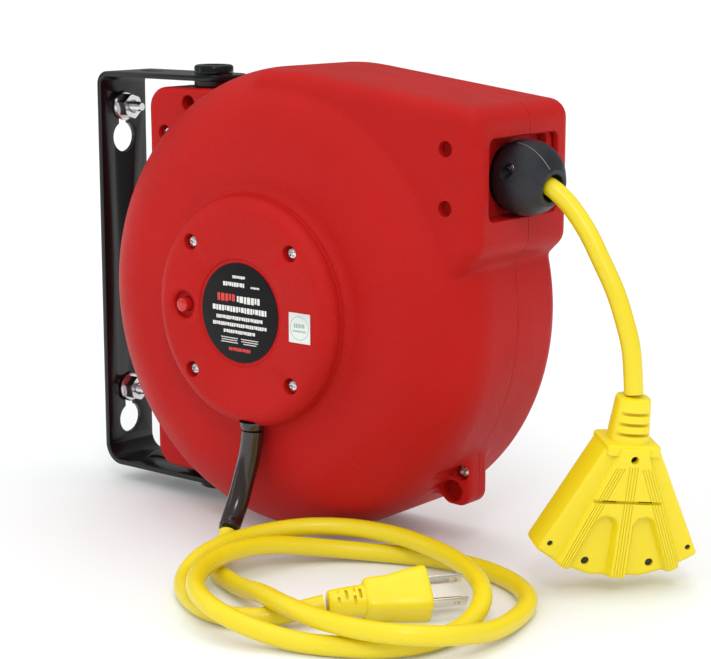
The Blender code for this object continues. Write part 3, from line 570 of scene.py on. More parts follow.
def casing_cavity(front):
    """The hollow inside one half, as a shape turned about the drum's axis."""
    depth, edge = (-FRONT_Y, FRONT_EDGE) if front else (REAR_Y, REAR_EDGE)
    depth, edge, reach = depth - WALL, edge - WALL, RIM_R - WALL
    ridge = [(reach - edge + edge * math.cos(a), depth - edge + edge * math.sin(a))
             for a in np.linspace(0, math.pi / 2, 10)]
    bm = placed(turned([(0, -1), (reach, -1), *ridge, (0, depth)], "Y", 96), HUB_SPOT)
    return facing_front(bm) if front else bm


def mouth_cutter():
    core = [(MOUTH_Y - 26, 58), (MOUTH_Y + 26, 58), (MOUTH_Y + 26, 90), (MOUTH_Y - 26, 90)]
    rows = [(270, 4.0), (BOX_X - 0.9, 4.0), (BOX_X - 0.4, 4.2), (BOX_X + 0.1, 4.8), (300, 4.8)]
    return skin([[(x, y, z) for y, z in grown(core, r)] for x, r in rows])


def pivot_bore(side):
    return placed(rod(PIVOT_BORE, 84, 120), (PIVOT_X, 0, 0), side)


def relief_hole():
    """The hole for the lead's strain relief, half in the casing and half in the hub cover."""
    return placed(rod(6.9, 57, 66), (RELIEF_X, RELIEF_Y, 0), UPSIDE_DOWN)


def casing():
    front = rough_casing()
    settle(front, casing_distance)
    rear = front.copy()
    rear.data = front.data.copy()
    bpy.context.scene.collection.objects.link(rear)
    rear.name = rear.data.name = "casing_rear"
    front.name = front.data.name = "casing_front"
    far = 400
    for half, low, high in ((front, -SEAM, far), (rear, -far, SEAM)):
        cuts = [block((-far, low, -far), (far, high, far)), casing_cavity(half is front),
                cushioned(*BOX_ROOM)]
        carved(half, [*cuts, mouth_cutter(), pivot_bore(Matrix()), pivot_bore(UPSIDE_DOWN)])
    foot = [(54, 57), (67.5, 57), (67.5, 57.9), (64.6, 58.2), (62.6, 58.9), (61.2, 60.0), (HUB_R + 0.1, 61.3),
            (HUB_R, 62.4), (HUB_R - 0.5, 63.0), (54, 63.0)]
    boss = turned([(r, -y) for r, y in foot], "Y", 128)
    adds = [placed(boss, HUB_SPOT)]
    adds += [placed(rod(6.2, -44.5, -33.8, "Y"), (ROLLER_X, 0, z)) for z in ROLLER_Z]
    cuts = [placed(well(3.9, -40.4, -46.0, 0.45), (ROLLER_X, 0, z)) for z in ROLLER_Z]
    for x, z, y in CASE_SCREWS:
        cuts.append(placed(well(4.4, y + 5, y, 0.4), (x, 0, z)))
        cuts.append(placed(rod(4.4, y - 20, y + 1, "Y"), (x, 0, z)))
    holes = [(73.6, 100.7, 4.5, -9, -20.0), (73.6, -100.7, 4.5, -9, -20.0), (247.6, -92.4, 6.0, -1.5, -9.0)]
    for x, z, radius, floor, surface in holes:
        cuts.append(placed(well(radius, floor, surface, 0.4), (x, 0, z)))
        cuts.append(placed(rod(radius, -24, surface + 1, "Y"), (x, 0, z)))
    carved(front, [*cuts, relief_hole()], adds)
    joined(front, ["front_shell"])
    behind = [(0, 36.8), (0, 38.5), (46, 38.5), (44.6, 39.2), (43.2, 40.4), (42.4, 41.6), (41.4, 42),
              (14, 42), (13, 41.2), (12, 40.6), (0, 40.6)]
    lumps = [placed(turned(behind, "Y", 96), HUB_SPOT)]
    for x, z, _ in CASE_SCREWS[:2]:
        lump = turned([(0, 18), (6.5, 18), (6.2, 20.8), (5.6, 21.4), (0, 21.4)], "Y", 40)
        lumps.append(placed(lump, (x, 0, z)))
    carved(rear, (), lumps)
    joined(rear, ["rear_shell"])


# Hub.


def hub_cover():
    low = -BOSS_Y + 0.3
    depth = -HUB_FACE_Y
    dome = [(HUB_R - 9 + 9 * math.cos(a), depth - 8.2 + 8.2 * math.sin(a))
            for a in np.linspace(0.05, math.pi / 2, 16)]
    outline = [(0, depth - 4.6), (52, depth - 4.6), (54, low), (HUB_R - 0.5, low), (HUB_R, low + 0.4), *dome,
               (0, depth)]
    cover = placed(turned([(r, -y) for r, y in outline], "Y", 160), HUB_SPOT)
    obj = shown("hub_cover_skin", cover, CASING_RED)
    cuts = [placed(well(4.3, HUB_FACE_Y + 4.2, HUB_FACE_Y, 0.45, 40), (x, 0, z)) for x, z in HUB_SCREWS]
    cuts.append(placed(well(28.2, HUB_FACE_Y + 0.7, HUB_FACE_Y, 0.35, 96), HUB_SPOT))
    dish = [(0, -68.0), (6.2, -68.0), (6.8, -68.5), (7.1, -70.2), (7.5, -71.0), (8.3, -71.6), (9.5, -71.95),
            (10.6, -72.1), (10.6, -76), (0, -76)]
    cuts.append(placed(turned(dish, "Y", 48), (BUTTON_X, 0, 0)))
    cuts.append(placed(rod(4.0, -76, -66, "Y"), (BUTTON_X, 0, 0)))
    carved(obj, [*cuts, relief_hole()])
    joined(obj, ["hub_cover"])
    button = [(0, -57.4), (2.4, -57.4), (2.4, -66), (3.7, -66), (3.7, -72.1), (3.5, -72.7), (2.9, -73.1),
              (1.4, -73.3), (0, -73.35)]
    shown("button_cap", placed(turned(button, "Y", 40), (BUTTON_X, 0, 0)), BUTTON_RED, ["reset_button"],
          "reset_button")


# Rows of printing on the label: middle x, z, width and height.
PRINT = {
    "pale": [
        (0.0, 18.6, 9.0, 1.5), (-3.5, 14.6, 15.0, 2.2), (11.0, 14.0, 6.0, 1.0), (6.2, 7.0, 15.5, 3.6),
        (0.0, 1.6, 37.0, 2.9), (0.0, -3.0, 32.0, 1.9), (0.0, -6.6, 37.0, 1.9), (0.0, -10.2, 22.0, 1.8),
        (-7.0, -13.6, 12.0, 0.5), (-7.0, -14.8, 11.0, 0.5), (-7.0, -16.0, 12.0, 0.5),
        (7.0, -13.6, 12.0, 0.5), (7.0, -14.8, 11.5, 0.5), (7.0, -16.0, 9.0, 0.5),
    ],
    "red": [(-9.0, 7.4, 12.0, 4.0), (0.0, -19.4, 15.0, 1.8)],
}


def dashes(rows, at_x, at_z, low, high):
    """Rows of plain raised dashes, which stand for printing that can't be read."""
    bm = bmesh.new()
    for row, (middle, z, width, height) in enumerate(rows):
        x, k = middle - width / 2, row
        while x < middle + width / 2 - 0.2:
            step = height * (0.42, 0.62, 0.5, 0.34, 0.7)[k % 5]
            end = min(x + step, middle + width / 2)
            lift = height * (0.0, 0.0, 0.08, 0.0, 0.16)[(k * 3) % 5]
            bottom, top = z - height / 2 + lift, z + height / 2
            corners = ((x, bottom), (end, bottom), (end, top), (x, top))
            rings = [[bm.verts.new((at_x + a, y, at_z + b)) for a, b in corners] for y in (low, high)]
            bm.faces.new(rings[0])
            bm.faces.new(rings[1][::-1])
            for i in range(4):
                j = (i + 1) % 4
                bm.faces.new((rings[0][j], rings[0][i], rings[1][i], rings[1][j]))
            x, k = end + height * 0.16, k + 1
    bmesh.ops.recalc_face_normals(bm, faces=bm.faces)
    return bm


def hub_trim():
    face = HUB_FACE_Y + 0.25
    disc = turned([(0, -71.2), (26.1, -71.2), (26.1, face + 0.05), (25.9, face), (0, face)], "Y", 128)
    shown("label_disc", placed(disc, HUB_SPOT), LABEL_BLACK, ["hub_label"])
    for kind, finish in (("pale", LABEL_PALE), ("red", LABEL_RED)):
        printing = dashes(PRINT[kind], AXIS_X, 0, face - 0.06, face + 0.05)
        shown(f"label_print_{kind}", printing, finish, [])
    spot = (AXIS_X + 41, 0, -3)
    low, high = -72.46, -72.38
    foil = block((-7, -72.42, -7.7), (7, -72.02, 7.7), 0.15)
    shown("sticker_foil", placed(foil, spot), FOIL, ["hub_sticker"])
    ring = turned([(5.8, low), (6.1, low), (6.1, high), (5.8, high)], "Y", 96)
    shown("sticker_ring", placed(ring, spot), FOIL_INK, [])
    rows = [(0.0, 1.2, 7.4, 2.2), (0.0, -1.6, 8.6, 1.0)]
    shown("sticker_print", dashes(rows, spot[0], spot[2], low, high), FOIL_INK, [])


def phillips(name, at, radius, height, shank, node, turn=Matrix(), spin=0.0):
    """A pan head screw with a cross recess, its head towards -Y; at is the middle of the head's underside."""
    profile = [(0, shank), (1.5, shank), (1.5, 0), (radius, 0), (radius, -height * 0.38),
               (radius * 0.95, -height * 0.6), (radius * 0.8, -height * 0.82), (radius * 0.5, -height * 0.96),
               (0, -height)]
    bm = turned(profile, "Y", 48)
    wide, long = radius * 0.17, radius * 0.66
    plus = [(wide, wide), (long, wide), (long, -wide), (wide, -wide), (wide, -long), (-wide, -long),
            (-wide, -wide), (-long, -wide), (-long, wide), (-wide, wide), (-wide, long), (wide, long)]
    cross = extruded(plus[::-1], -height - 1, -height * 0.35)
    turn = turn @ Matrix.Rotation(math.radians(spin), 4, "Y")
    obj = shown(name, placed(bm, at, turn), CHROME)
    carved(obj, [placed(cross, at, turn)])
    joined(obj, [node])


def screws():
    for number, ((x, z), spin) in enumerate(zip(HUB_SCREWS, (12, 40, 27, 5)), 1):
        spot = (x, HUB_FACE_Y + 4.1, z)
        phillips(f"hub_fixing_{number}", spot, 3.3, 2.2, 3, f"hub_screw_{number}", spin=spin)
    for number, (x, z, y) in enumerate(CASE_SCREWS, 1):
        spot = (x, y + 4.9, z)
        phillips(f"case_fixing_{number}", spot, 3.9, 2.6, 3, f"case_screw_{number}", spin=20 * number)


# Outlet.


def outlet_guide():
    left, right = MOUTH_Y - 27, MOUTH_Y + 27
    outer = grown([(left, 52), (right, 52), (right, 96.5), (left, 96.5)], 4.0)
    lining = shown("outlet_lining", extruded(outer, 274.5, 282.6, "X"), CASING_RED)
    inner = [(left + 5, 57.2), (right - 5, 57.2), (right - 5, 90.9), (left + 5, 90.9)]
    rows = [(SEAT_X, 2.0), (SEAT_X + 0.4, 2.7), (SEAT_X + 1, 3.0), (281.2, 3.2), (282.2, 3.8), (282.6, 4.6),
            (290, 4.6)]
    pocket = skin([[(x, y, z) for y, z in grown(inner, r)] for x, r in rows])
    lip = [(SEAT_R, SEAT_X - 0.5), (SEAT_R + 0.2, SEAT_X - 0.1), (SEAT_R + 0.8, SEAT_X + 0.2)]
    seat = turned([(0, 272), (SEAT_R, 272), *lip, (SEAT_R + 0.8, 280), (0, 280)], "X", 96)
    carved(lining, [pocket, placed(seat, (0, MOUTH_Y, BALL.z))])
    joined(lining, ["outlet_frame"])
    for name, z in zip(("lower", "upper"), ROLLER_Z):
        spot = (ROLLER_X, 0, z)
        pin = turned([(0, -39.8), (3.6, -39.8), (3.6, -38.3), (2.2, -38.3), (2.2, 35.2), (0, 35.2)], "Y", 32)
        shown(f"guide_pin_{name}", placed(pin, spot), STEEL, [f"roller_pin_{name}"])
        waist = [(5.0 - 0.6 * math.cos((y - MOUTH_Y) / 27.5 * math.pi / 2), y)
                 for y in np.linspace(-31.4, 22.4, 24)]
        roller = turned([(2.6, -32), (4.4, -32), *waist, (4.4, 23), (2.6, 23)], "Y", 48)
        shown(f"guide_roller_{name}", placed(roller, spot), NYLON, [f"roller_{name}"], f"roller_{name}")


BALL_AIM = Matrix.Rotation(BALL_YAW, 4, "Z") @ Matrix.Rotation(BALL_TILT, 4, "Y")
BALL_FRAME = BALL_AIM @ Matrix.Rotation(BALL_ROLL, 4, "X")
STOP_SCREW = Vector((1.3, -9.6, 11.4))


def ball_arc(first, last, steps):
    """Points on the ball's outline, as distances along its aim and out from it."""
    return [(BALL_R * math.cos(a), BALL_R * math.sin(a)) for a in np.radians(np.linspace(first, last, steps))]


def cord_stop():
    """A ball in two halves, clamped on the cord by a screw, with a cone and a nose that the cord leaves."""
    profile = [(5.5, -18.2), *[(r, x) for x, r in ball_arc(161, 43, 40)], (10.2, 16.3), (9.9, 16.9),
               (9.4, 17.3), (7.6, 17.4), (7.0, 17.0), (6.6, 13.0), (5.5, 11.0)]
    for name, low, high in (("near", -0.12, 30), ("far", -30, 0.12)):
        obj = shown(f"cord_ball_{name}", placed(turned(profile, "X", 96), BALL, BALL_FRAME), CHARCOAL)
        cuts = [placed(block((-30, low, -30), (30, high, 30)), BALL, BALL_FRAME)]
        if name == "near":
            recess = extruded(oblong((0, 0), 7.6, 5.8), -25, -9.2)
            spot = Matrix.Translation((STOP_SCREW.x, 0, STOP_SCREW.z))
            lean = Matrix.Rotation(math.radians(-38), 4, "Y")
            cuts.append(placed(recess, BALL, BALL_FRAME @ spot @ lean))
        carved(obj, cuts)
        joined(obj, [f"cord_stop_{name}"])
    for name, sign in (("top", 1), ("bottom", -1)):
        path = [Vector((x, 0, sign * z)) for x, z in [(16.2, 10.3), *ball_arc(43, 104, 32)]]
        flash = swept(path, np.linspace(0.27, 0.15, len(path)), 12)
        shown(f"ball_seam_{name}", placed(flash, BALL, BALL_FRAME), SEAM_GREY, [])
    spot = BALL + BALL_FRAME.to_3x3() @ STOP_SCREW
    phillips("ball_fixing", spot, 2.8, 2.0, 4, "cord_stop_screw", turn=BALL_FRAME)


# Bracket.


def bracket():
    top, low = FLANGE_Z + PLATE, -FLANGE_Z - PLATE
    top_bend, low_bend = 8.0, 12.0
    upper, lower = (top_bend, top - top_bend), (low_bend, low + low_bend)
    outside = [
        (PIVOT_X, low), (PIVOT_X, low + PLATE), *arc(lower, low_bend - PLATE, 270, 180, 14),
        *arc(upper, top_bend - PLATE, 180, 90, 12), (PIVOT_X, top - PLATE), (PIVOT_X, top),
        *arc(upper, top_bend, 90, 180, 14), *arc(lower, low_bend, 180, 270, 16),
    ]
    obj = shown("bracket_strip", extruded(outside, -18, 18), BLACK_PAINT)
    adds, cuts = [], []
    for z in (FLANGE_Z, -top):
        adds.append(placed(rod(18, z, z + PLATE, segments=96), (PIVOT_X, 0, 0)))
        cuts.append(placed(rod(PIVOT_BORE, z - 1, z + 4), (PIVOT_X, 0, 0)))
        cuts.append(extruded(oblong((27, 0), 16, 6), z - 1, z + 4, "Z"))
    for stud, hole in zip(STUD_Z, (77.0, -92.0)):
        slot = [(-4.0, hole), (4.0, hole), *arc((0, stud), 4.0, 0, 180, 16)]
        cuts.append(extruded(slot, -2, 6, "X"))
        cuts.append(placed(rod(8.75, -2, 6, "X", 48), (0, 0, hole)))
    carved(obj, cuts, adds, bevel=0.45)
    joined(obj, ["wall_bracket"], "bracket")


def thread(radius, start, end, pitch=1.0, depth=0.35):
    """The outline of a threaded rod's side, as (radius, height)."""
    found, h = [], start
    while h + pitch < end:
        found += [(radius - depth, h), (radius, h + pitch * 0.5)]
        h += pitch
    return [*found, (radius - depth, h)]


def hexagon(radius):
    return arc((0, 0), radius, 0, 300, 5)


def bracket_fixings():
    under, head = FLANGE_Z + PLATE + 0.3, FLANGE_Z + PLATE + 5.3
    for name, turn in (("upper", Matrix()), ("lower", UPSIDE_DOWN)):
        spot = (PIVOT_X, 0, 0)
        washer = turned([(PIVOT_BORE, 109.3), (10.6, 109.3), (11, 109.7), (11, 112.3), (10.6, 112.7),
                         (PIVOT_BORE, 112.7)])
        shown(f"swivel_washer_{name}", placed(washer, spot, turn), BLACK_PLASTIC, [f"pivot_washer_{name}"],
              "bracket")
        rim = [(10.4, under), (11, under + 0.5), (11, head - 1.6), (10.7, head - 0.8), (10.0, head - 0.25),
               (9.0, head)]
        dish = [(6.6, head), (6.2, head - 0.5), (5.4, head - 0.7), (0, head - 0.7)]
        outline = [(0, 86), (4, 86), (4, under), *rim, *dish]
        bolt = shown(f"swivel_bolt_{name}", placed(turned(outline, "Z", 80), spot, turn), BLACK_PAINT)
        carved(bolt, [placed(extruded(hexagon(4.2), head - 3, head + 1, "Z"), spot, turn)])
        joined(bolt, [f"pivot_bolt_{name}"], "bracket")
    for name, z in zip(("upper", "lower"), STUD_Z):
        spot = (0, 0, z)
        stud = turned([(0, 0.3), (3, 0.3), *thread(3.0, 1, 16.6), (2.2, 18), (0, 18)], "X", 40)
        shown(f"anchor_stud_{name}", placed(stud, spot), CHROME, [f"wall_stud_{name}"], "bracket")
        nut = turned([(3.25, 3.3), (8.4, 3.3), (8.6, 3.6), (8.5, 4.2), (7.6, 5.0), (7.6, 11.0), (3.9, 11.0),
                      (3.25, 10.4)], "X", 96)
        obj = shown(f"anchor_nut_{name}", placed(nut, spot), CHROME)
        turns = [Matrix.Rotation(TAU * k / 6 + 0.2, 4, "X") for k in range(6)]
        flats = [placed(block((4.9, 6.35, -8), (12, 12, 8)), spot, turn) for turn in turns]
        chamfer = turned([(6.0, 11.6), (9.0, 9.4), (12, 9.4), (12, 11.6)], "X")
        carved(obj, [*flats, placed(chamfer, spot)])
        joined(obj, [f"wall_nut_{name}"], "bracket")


# Cords and what is on them.

LEAD_ROUTE = [
    (161.2, -87.2, -113), (165, -94.5, -118.4), (171, -105, -121.3), (178, -115, -121.3),
    (191, -123.5, -121.3), (213, -134, -119.5), (238, -148, -113.5), (261, -158.5, -111.2),
    (285, -163, -111.2), (309, -162, -111.2), (329, -154, -111.4), (341, -136, -114), (343, -108, -119),
    (337, -78, -121.3), (328, -58, -121.3), (313, -44, -121.3), (294, -35.5, -121.3), (275, -32.5, -121.3),
    (257, -34.5, -121.3), (240, -40, -121.3), (221, -50, -120.5), (204, -66, -117.8), (193, -87, -113.5),
    (189, -109, -111.3), (191, -131, -111.2), (201, -152.5, -111.2), (217, -169.5, -111.3),
    (236, -179, -112.5), (253, -180, -115.5), (267, -175.5, -119), (281, -170, -121.3), (296, -164, -121.3),
    (310, -156, -121.3), (321, -143.5, -121.3), (326.5, -126, -121.3), (327, -107, -120),
    (323.5, -91, -116.3), (316, -79.5, -112.6), (303, -68, -111.2), (283, -55, -111.2), (259, -46, -111.1),
    (236, -43, -110.5), (215, -48, -109.7), (198, -59, -109.4), (186, -73.5, -109.9), (179, -90, -110.8),
    (176.5, -109, -111.4), (176, -126, -114.8), (180, -139.5, -119.6), (193, -152.5, -121.3),
    (212, -163, -121.3), (230, -165, -121.3), (244, -157.5, -121.3), (255, -146.5, -119.5),
    (265.9, -135.2, -116.1),
]
DROP_ROUTE = [(312.2, MOUTH_Y, 62.4), (323.0, MOUTH_Y, 50.1), (331.6, MOUTH_Y, 36.3), (339.6, MOUTH_Y, 22.4),
              (345.3, MOUTH_Y, 8.5), (349.6, MOUTH_Y, -6), (351.6, MOUTH_Y, -26.8)]
RELIEF_ROUTE = [(RELIEF_X, RELIEF_Y, -53), (RELIEF_X, RELIEF_Y, -64), (158.3, -66.5, -76.2),
                (156.8, -69.5, -88.5), (156.8, -74, -99.3), (158, -80.3, -107.8), (160.2, -85.4, -111.8)]


def relief():
    points, _ = spaced(smooth_route(RELIEF_ROUTE, 10), 1.0)
    collar = [p for p in points if -63 <= p.z < -57.4]
    last = len(collar) - 1
    radii = [6.6 - 0.7 * max(0.0, 1 - (last - k) / 1.5) for k in range(last + 1)]
    shown("relief_collar", swept(collar, radii), RELIEF_BLACK, ["lead_relief_collar"])
    sleeve = [p for p in points if p.z < -63]
    last = len(sleeve) - 1
    radii = [5.95 - 0.25 * k / last - 0.5 * max(0.0, 1 - (last - k) / 1.2) for k in range(last + 1)]
    shown("relief_sleeve", swept(sleeve, radii), RELIEF_BLACK, ["lead_relief_sleeve"])


PLUG_FRAME = Matrix.Rotation(PLUG_AIM, 4, "Z") @ Matrix.Rotation(PLUG_ROLL, 4, "X")


def squared(x, wide, tall, power, segments=64):
    """A ring between a circle, at power 1, and a square with round corners."""
    ring = []
    for k in range(segments):
        a = TAU * (k + 0.5) / segments
        c, s = math.cos(a), math.sin(a)
        ring.append((x, wide * math.copysign(abs(c) ** power, c), tall * math.copysign(abs(s) ** power, s)))
    return ring


def plug():
    rows = [(0.4, 5.3, 5.3, 1), (1.0, 6.0, 6.0, 1), (4, 6.4, 6.4, 1), (10, 6.9, 6.9, 0.95),
            (16.5, 7.3, 7.2, 0.9), (17.2, 7.3, 7.2, 0.8), (17.6, 8.2, 7.8, 0.6), (18.2, 8.8, 8.3, 0.5),
            (19.4, 9.1, 8.6, 0.45), (24, 9.3, 8.7, 0.42), (28.5, 9.4, 8.8, 0.42), (31, 9.8, 9.1, 0.42),
            (36, 10.9, 10.0, 0.42), (42, 11.9, 10.9, 0.42), (45.8, 12.4, 11.4, 0.42),
            (47.2, 12.3, 11.3, 0.42), (47.9, 11.8, 10.8, 0.42), (48.2, 11.2, 10.2, 0.42)]
    body = placed(skin([squared(*row) for row in rows]), PLUG, PLUG_FRAME)
    obj = shown("lead_plug", body, MOULDED_YELLOW, sharp=math.radians(50))
    cuts = []
    pair, middle = ((0.9, 5.6), (-5.6, -0.9)), ((-2.6, 2.6),)
    for x, notches in ((4.6, pair), (8.4, middle), (12.2, pair), (15.0, middle)):
        for below, above in ((4.6, 12), (-12, -4.6)):
            for low, high in notches:
                notch = block((x - 0.75, low, below), (x + 0.75, high, above), 0.5)
                cuts.append(placed(notch, PLUG, PLUG_FRAME))
    carved(obj, cuts, sharp=math.radians(50))
    joined(obj, ["plug_body"])
    pieces = [obj]
    for name, y in (("hot", -BLADE_Y), ("neutral", BLADE_Y)):
        blade = placed(block((48.0, y - 0.75, -0.2), (66.2, y + 0.75, 6.15), 0.35, 3), PLUG, PLUG_FRAME)
        metal = shown(f"plug_prong_{name}", blade, NICKEL)
        hole = placed(rod(1.6, -10, 10, "Y", 32), (61, 0, 3))
        carved(metal, [placed(hole, PLUG, PLUG_FRAME)])
        pieces.append(joined(metal, [f"plug_blade_{name}"]))
    pin = turned([(0, 48.0), (2.4, 48.0), (2.4, 65.8), (2.2, 67.2), (1.7, 68.2), (0.9, 68.8), (0, 69)],
                 "X", 32)
    pin = placed(placed(pin, (0, 0, -7.6)), PLUG, PLUG_FRAME)
    return [*pieces, shown("plug_earth", pin, NICKEL, ["plug_ground_pin"])]


TAP_FRAME = Matrix.Translation(TAP) @ Matrix.Rotation(TAP_LEAN, 4, "Y") @ Matrix.Rotation(TAP_TURN, 4, "Z")
FAN_EDGE = [(-41, -77), (-28, -84.8), (-13, -89.4), (13, -89.4), (28, -84.8), (41, -77)]
FAN_TOP = -22.6
FAN_FLOOR = 10.8  # half the fan's thickness in its recesses
FAN_RAISE = 4.2
FAN_FACE = FAN_FLOOR + FAN_RAISE
RIB_SLOPE = 0.415
FIXING_Z = -28
CONTACT_X = (-9.2, 9.0)
RIVETS = [(-35.2, -73.4, 1.4, 1.25), (-16.4, -81.9, 2.0, 1.8), (16.4, -81.9, 2.0, 1.8),
          (35.2, -73.4, 1.4, 1.25)]
SIDES = (("front", -1), ("back", 1))


def on_tap(bm, at=(0, 0, 0), turn=None):
    """Place a shape that is drawn in the tap's own axes, below the point that the cord meets."""
    if turn is None:
        return placed(placed(bm, at), turn=TAP_FRAME)
    return placed(bm, turn=TAP_FRAME @ Matrix.Translation(at) @ turn)


def fan_half(x, z):
    """Half the fan's thickness: three ribs that spread downwards and the web between them stand proud."""
    rib = 6.5 + np.maximum(-32.3 - z, -6) * RIB_SLOPE
    side = abs(x)
    outside = (side - (rib + 3.9)) * 0.92
    between = np.maximum(4.6 - side, side - (rib - 3.9))
    circle = np.hypot(side - 9.8, z + 63) - 5.3
    arch = np.where(z < -63, between, circle)
    raised = np.clip(0.5 + np.minimum(-outside, arch) / 2.6, 0, 1)
    raised = raised * raised * (3 - 2 * raised)
    return FAN_FLOOR + FAN_RAISE * raised


def fan_body():
    """The fan as a skin of level rings, widening downwards, with round edges."""
    columns = np.linspace(-1, 1, 150)
    bottom = np.interp(41 * columns, *zip(*FAN_EDGE))
    rings = []
    for share in [0.0, 0.012, 0.03, *np.linspace(0.06, 0.985, 70), 1.0]:
        z = FAN_TOP + share * (bottom - FAN_TOP)
        wide = np.interp(z, [-77, -26, FAN_TOP], [41, 15.0, 13.3])
        x = wide * columns
        edge = np.clip((wide - abs(x)) / 2.2, 0, 1)
        half = fan_half(x, z) - 2.2 * (1 - np.sqrt(1 - (1 - edge) ** 2))
        half -= 1.4 * max(0.0, 1 - (1 - share) / 0.02) + 0.9 * max(0.0, 1 - share / 0.02)
        front = [(a, -h, c) for a, h, c in zip(x, half, z)]
        back = [(a, h, c) for a, h, c in zip(x[::-1], half[::-1], z[::-1])]
        rings.append(front + back)
    return skin(rings[::-1])


def tap_top():
    """The plate on the fan and the neck on the plate."""
    core = [(-10.56, -10.08), (10.56, -10.08), (10.56, 10.08), (-10.56, 10.08)]
    rows = ((-26.5, 0.99), (-23.4, 1.0), (-22.4, 0.985), (-21.9, 0.94), (-21.6, 0.86))
    plate = skin([[(a * s, b * s, z) for a, b in grown(core, 3.2)] for z, s in rows])
    rows = ((-24, 10.6), (-22.4, 10.4), (-21.2, 10.0), (-16, 9.6), (-10, 9.1), (-4, 8.6), (-1.6, 8.4),
            (-0.7, 8.1), (-0.3, 7.2))
    neck = skin([[(b, c, a) for a, b, c in squared(z, r, r * 0.98, 0.8)] for z, r in rows])
    return [on_tap(plate), on_tap(neck)]


def tap_notches():
    """Three notches across the neck, at the front and at the back."""
    cuts = []
    for z in (-17.4, -12.4, -7.2):
        for low, high in ((5.8, 14), (-14, -5.8)):
            cuts.append(on_tap(block((-12, low, z - 0.85), (12, high, z + 0.85), 0.25)))
    return cuts


def tap_cuts(sign):
    """What is cut in the fan's front, at sign -1, or its back: slots, grooves and holes."""
    cuts = []
    low, high = sorted((sign * (FAN_FACE - 2.2), sign * 25))
    cuts.append(on_tap(extruded(oblong((0, -49.6), 35.4, 1.7), low, high)))
    low, high = sorted((sign * (FAN_FLOOR - 3), sign * 25))
    for x in CONTACT_X:
        cuts.append(on_tap(block((x - 3.4, low, -50.2), (x + 3.4, high, -49.0))))
    hole = well(1.9, sign * (FAN_FLOOR - 1), sign * FAN_FACE, 0.35)
    cuts.append(on_tap(hole, (0, 0, FIXING_Z)))
    for lean, x, z, length in ((-1, -6.5, -32.3, 60), (0, 0, -31.5, 58), (1, 6.5, -32.3, 60)):
        turn = Matrix.Rotation(-lean * math.atan(RIB_SLOPE), 4, "Y")
        for offset in (-2.1, -0.7, 0.7, 2.1):
            groove = block((-0.22, -0.45, -length), (0.22, 0.45, 0))
            cuts.append(on_tap(groove, (x + offset, sign * FAN_FACE, z), turn))
    for x, z, radius, _ in RIVETS:
        hole = well(radius, sign * (FAN_FLOOR - 2.4), sign * FAN_FLOOR, 0.25, 28)
        cuts.append(on_tap(hole, (x, 0, z)))
    return cuts


def tap_outlets():
    """Three outlets in the fan's bottom edge, each with two slots and a round hole."""
    cuts = []
    for x, z, lean in ((-25.8, -85.2, -27), (0, -89.4, 0), (25.8, -85.2, 27)):
        turn = Matrix.Rotation(math.radians(-lean), 4, "Y")
        for y in (-BLADE_Y, BLADE_Y):
            slot = block((-3.6, y - 0.9, -4), (3.6, y + 0.9, 10))
            cuts.append(on_tap(slot, (x, 0, z), turn))
        ground = placed(rod(2.5, -4, 10, segments=32), (-6.6, 0, 0))
        cuts.append(on_tap(ground, (x, 0, z), turn))
    return cuts


def tap():
    obj = shown("tap_fan", on_tap(fan_body()), MOULDED_YELLOW)
    carved(obj, [*tap_notches(), *tap_cuts(1), *tap_cuts(-1), *tap_outlets()], tap_top())
    pieces = [joined(obj, ["tap_body"])]
    for side, sign in SIDES:
        # Painted shade: a near black disc at the bottom of the fixing hole and near black strips in the
        # contact slits stand in for the shade deep inside them.
        low, high = sorted((sign * (FAN_FLOOR - 0.9), sign * (FAN_FLOOR + 0.9)))
        head = on_tap(rod(1.85, low, high, "Y", 28), (0, 0, FIXING_Z))
        pieces.append(shown(f"tap_fixing_hole_shade_{side}", head, HOLE_DARK, []))
        low, high = sorted((sign * (FAN_FLOOR - 2.9), sign * (FAN_FLOOR + 1.0)))
        for number, x in enumerate(CONTACT_X, 1):
            strip = on_tap(block((x - 3.3, low, -50.1), (x + 3.3, high, -49.1)))
            pieces.append(shown(f"tap_contact_{side}_{number}", strip, HOLE_DARK, []))
    for number, (x, z, _, radius) in enumerate(RIVETS, 1):
        for side, sign in SIDES:
            floor, face = sign * (FAN_FLOOR - 2.3), sign * (FAN_FLOOR - 0.9)
            rim = [(radius, floor), (radius, face - sign * 0.3), (radius * 0.8, face)]
            pin = on_tap(turned([(0, floor), *rim, (0, face)], "Y", 28), (x, 0, z))
            replaces = [f"tap_rivet_{number}"] if side == "front" else []
            pieces.append(shown(f"tap_pin_{side}_{number}", pin, RIVET_DARK, replaces))
    return pieces


def cords():
    relief()
    points, length = spaced(smooth_route(LEAD_ROUTE, 14), 4.5)
    lead = cord_curve("supply_lead", points, CORD_D, CORD_YELLOW)
    joined(lead, ["lead_cord"])
    plug()
    aim = BALL_AIM.to_3x3() @ Vector((1, 0, 0))
    inside = BALL - aim * 2
    feed = [Vector((172, MOUTH_Y, 88.9)), Vector((222, -3.4, 85.0)), BALL - aim * 25, BALL - aim * 16,
            inside - aim * 0.4]
    points, _ = spaced(smooth_route(feed, 10), 4)
    joined(cord_curve("feed_run", points, CORD_D, CORD_YELLOW), ["feed_cord"])
    route = smooth_route([inside, BALL + aim * 8, BALL + aim * 16, *DROP_ROUTE], 12)
    points, length = spaced(route, 3)
    drop = cord_curve("outlet_run", points, CORD_D, CORD_YELLOW)
    joined(drop, ["outlet_cord"])
    tap()


# Room, light and camera.


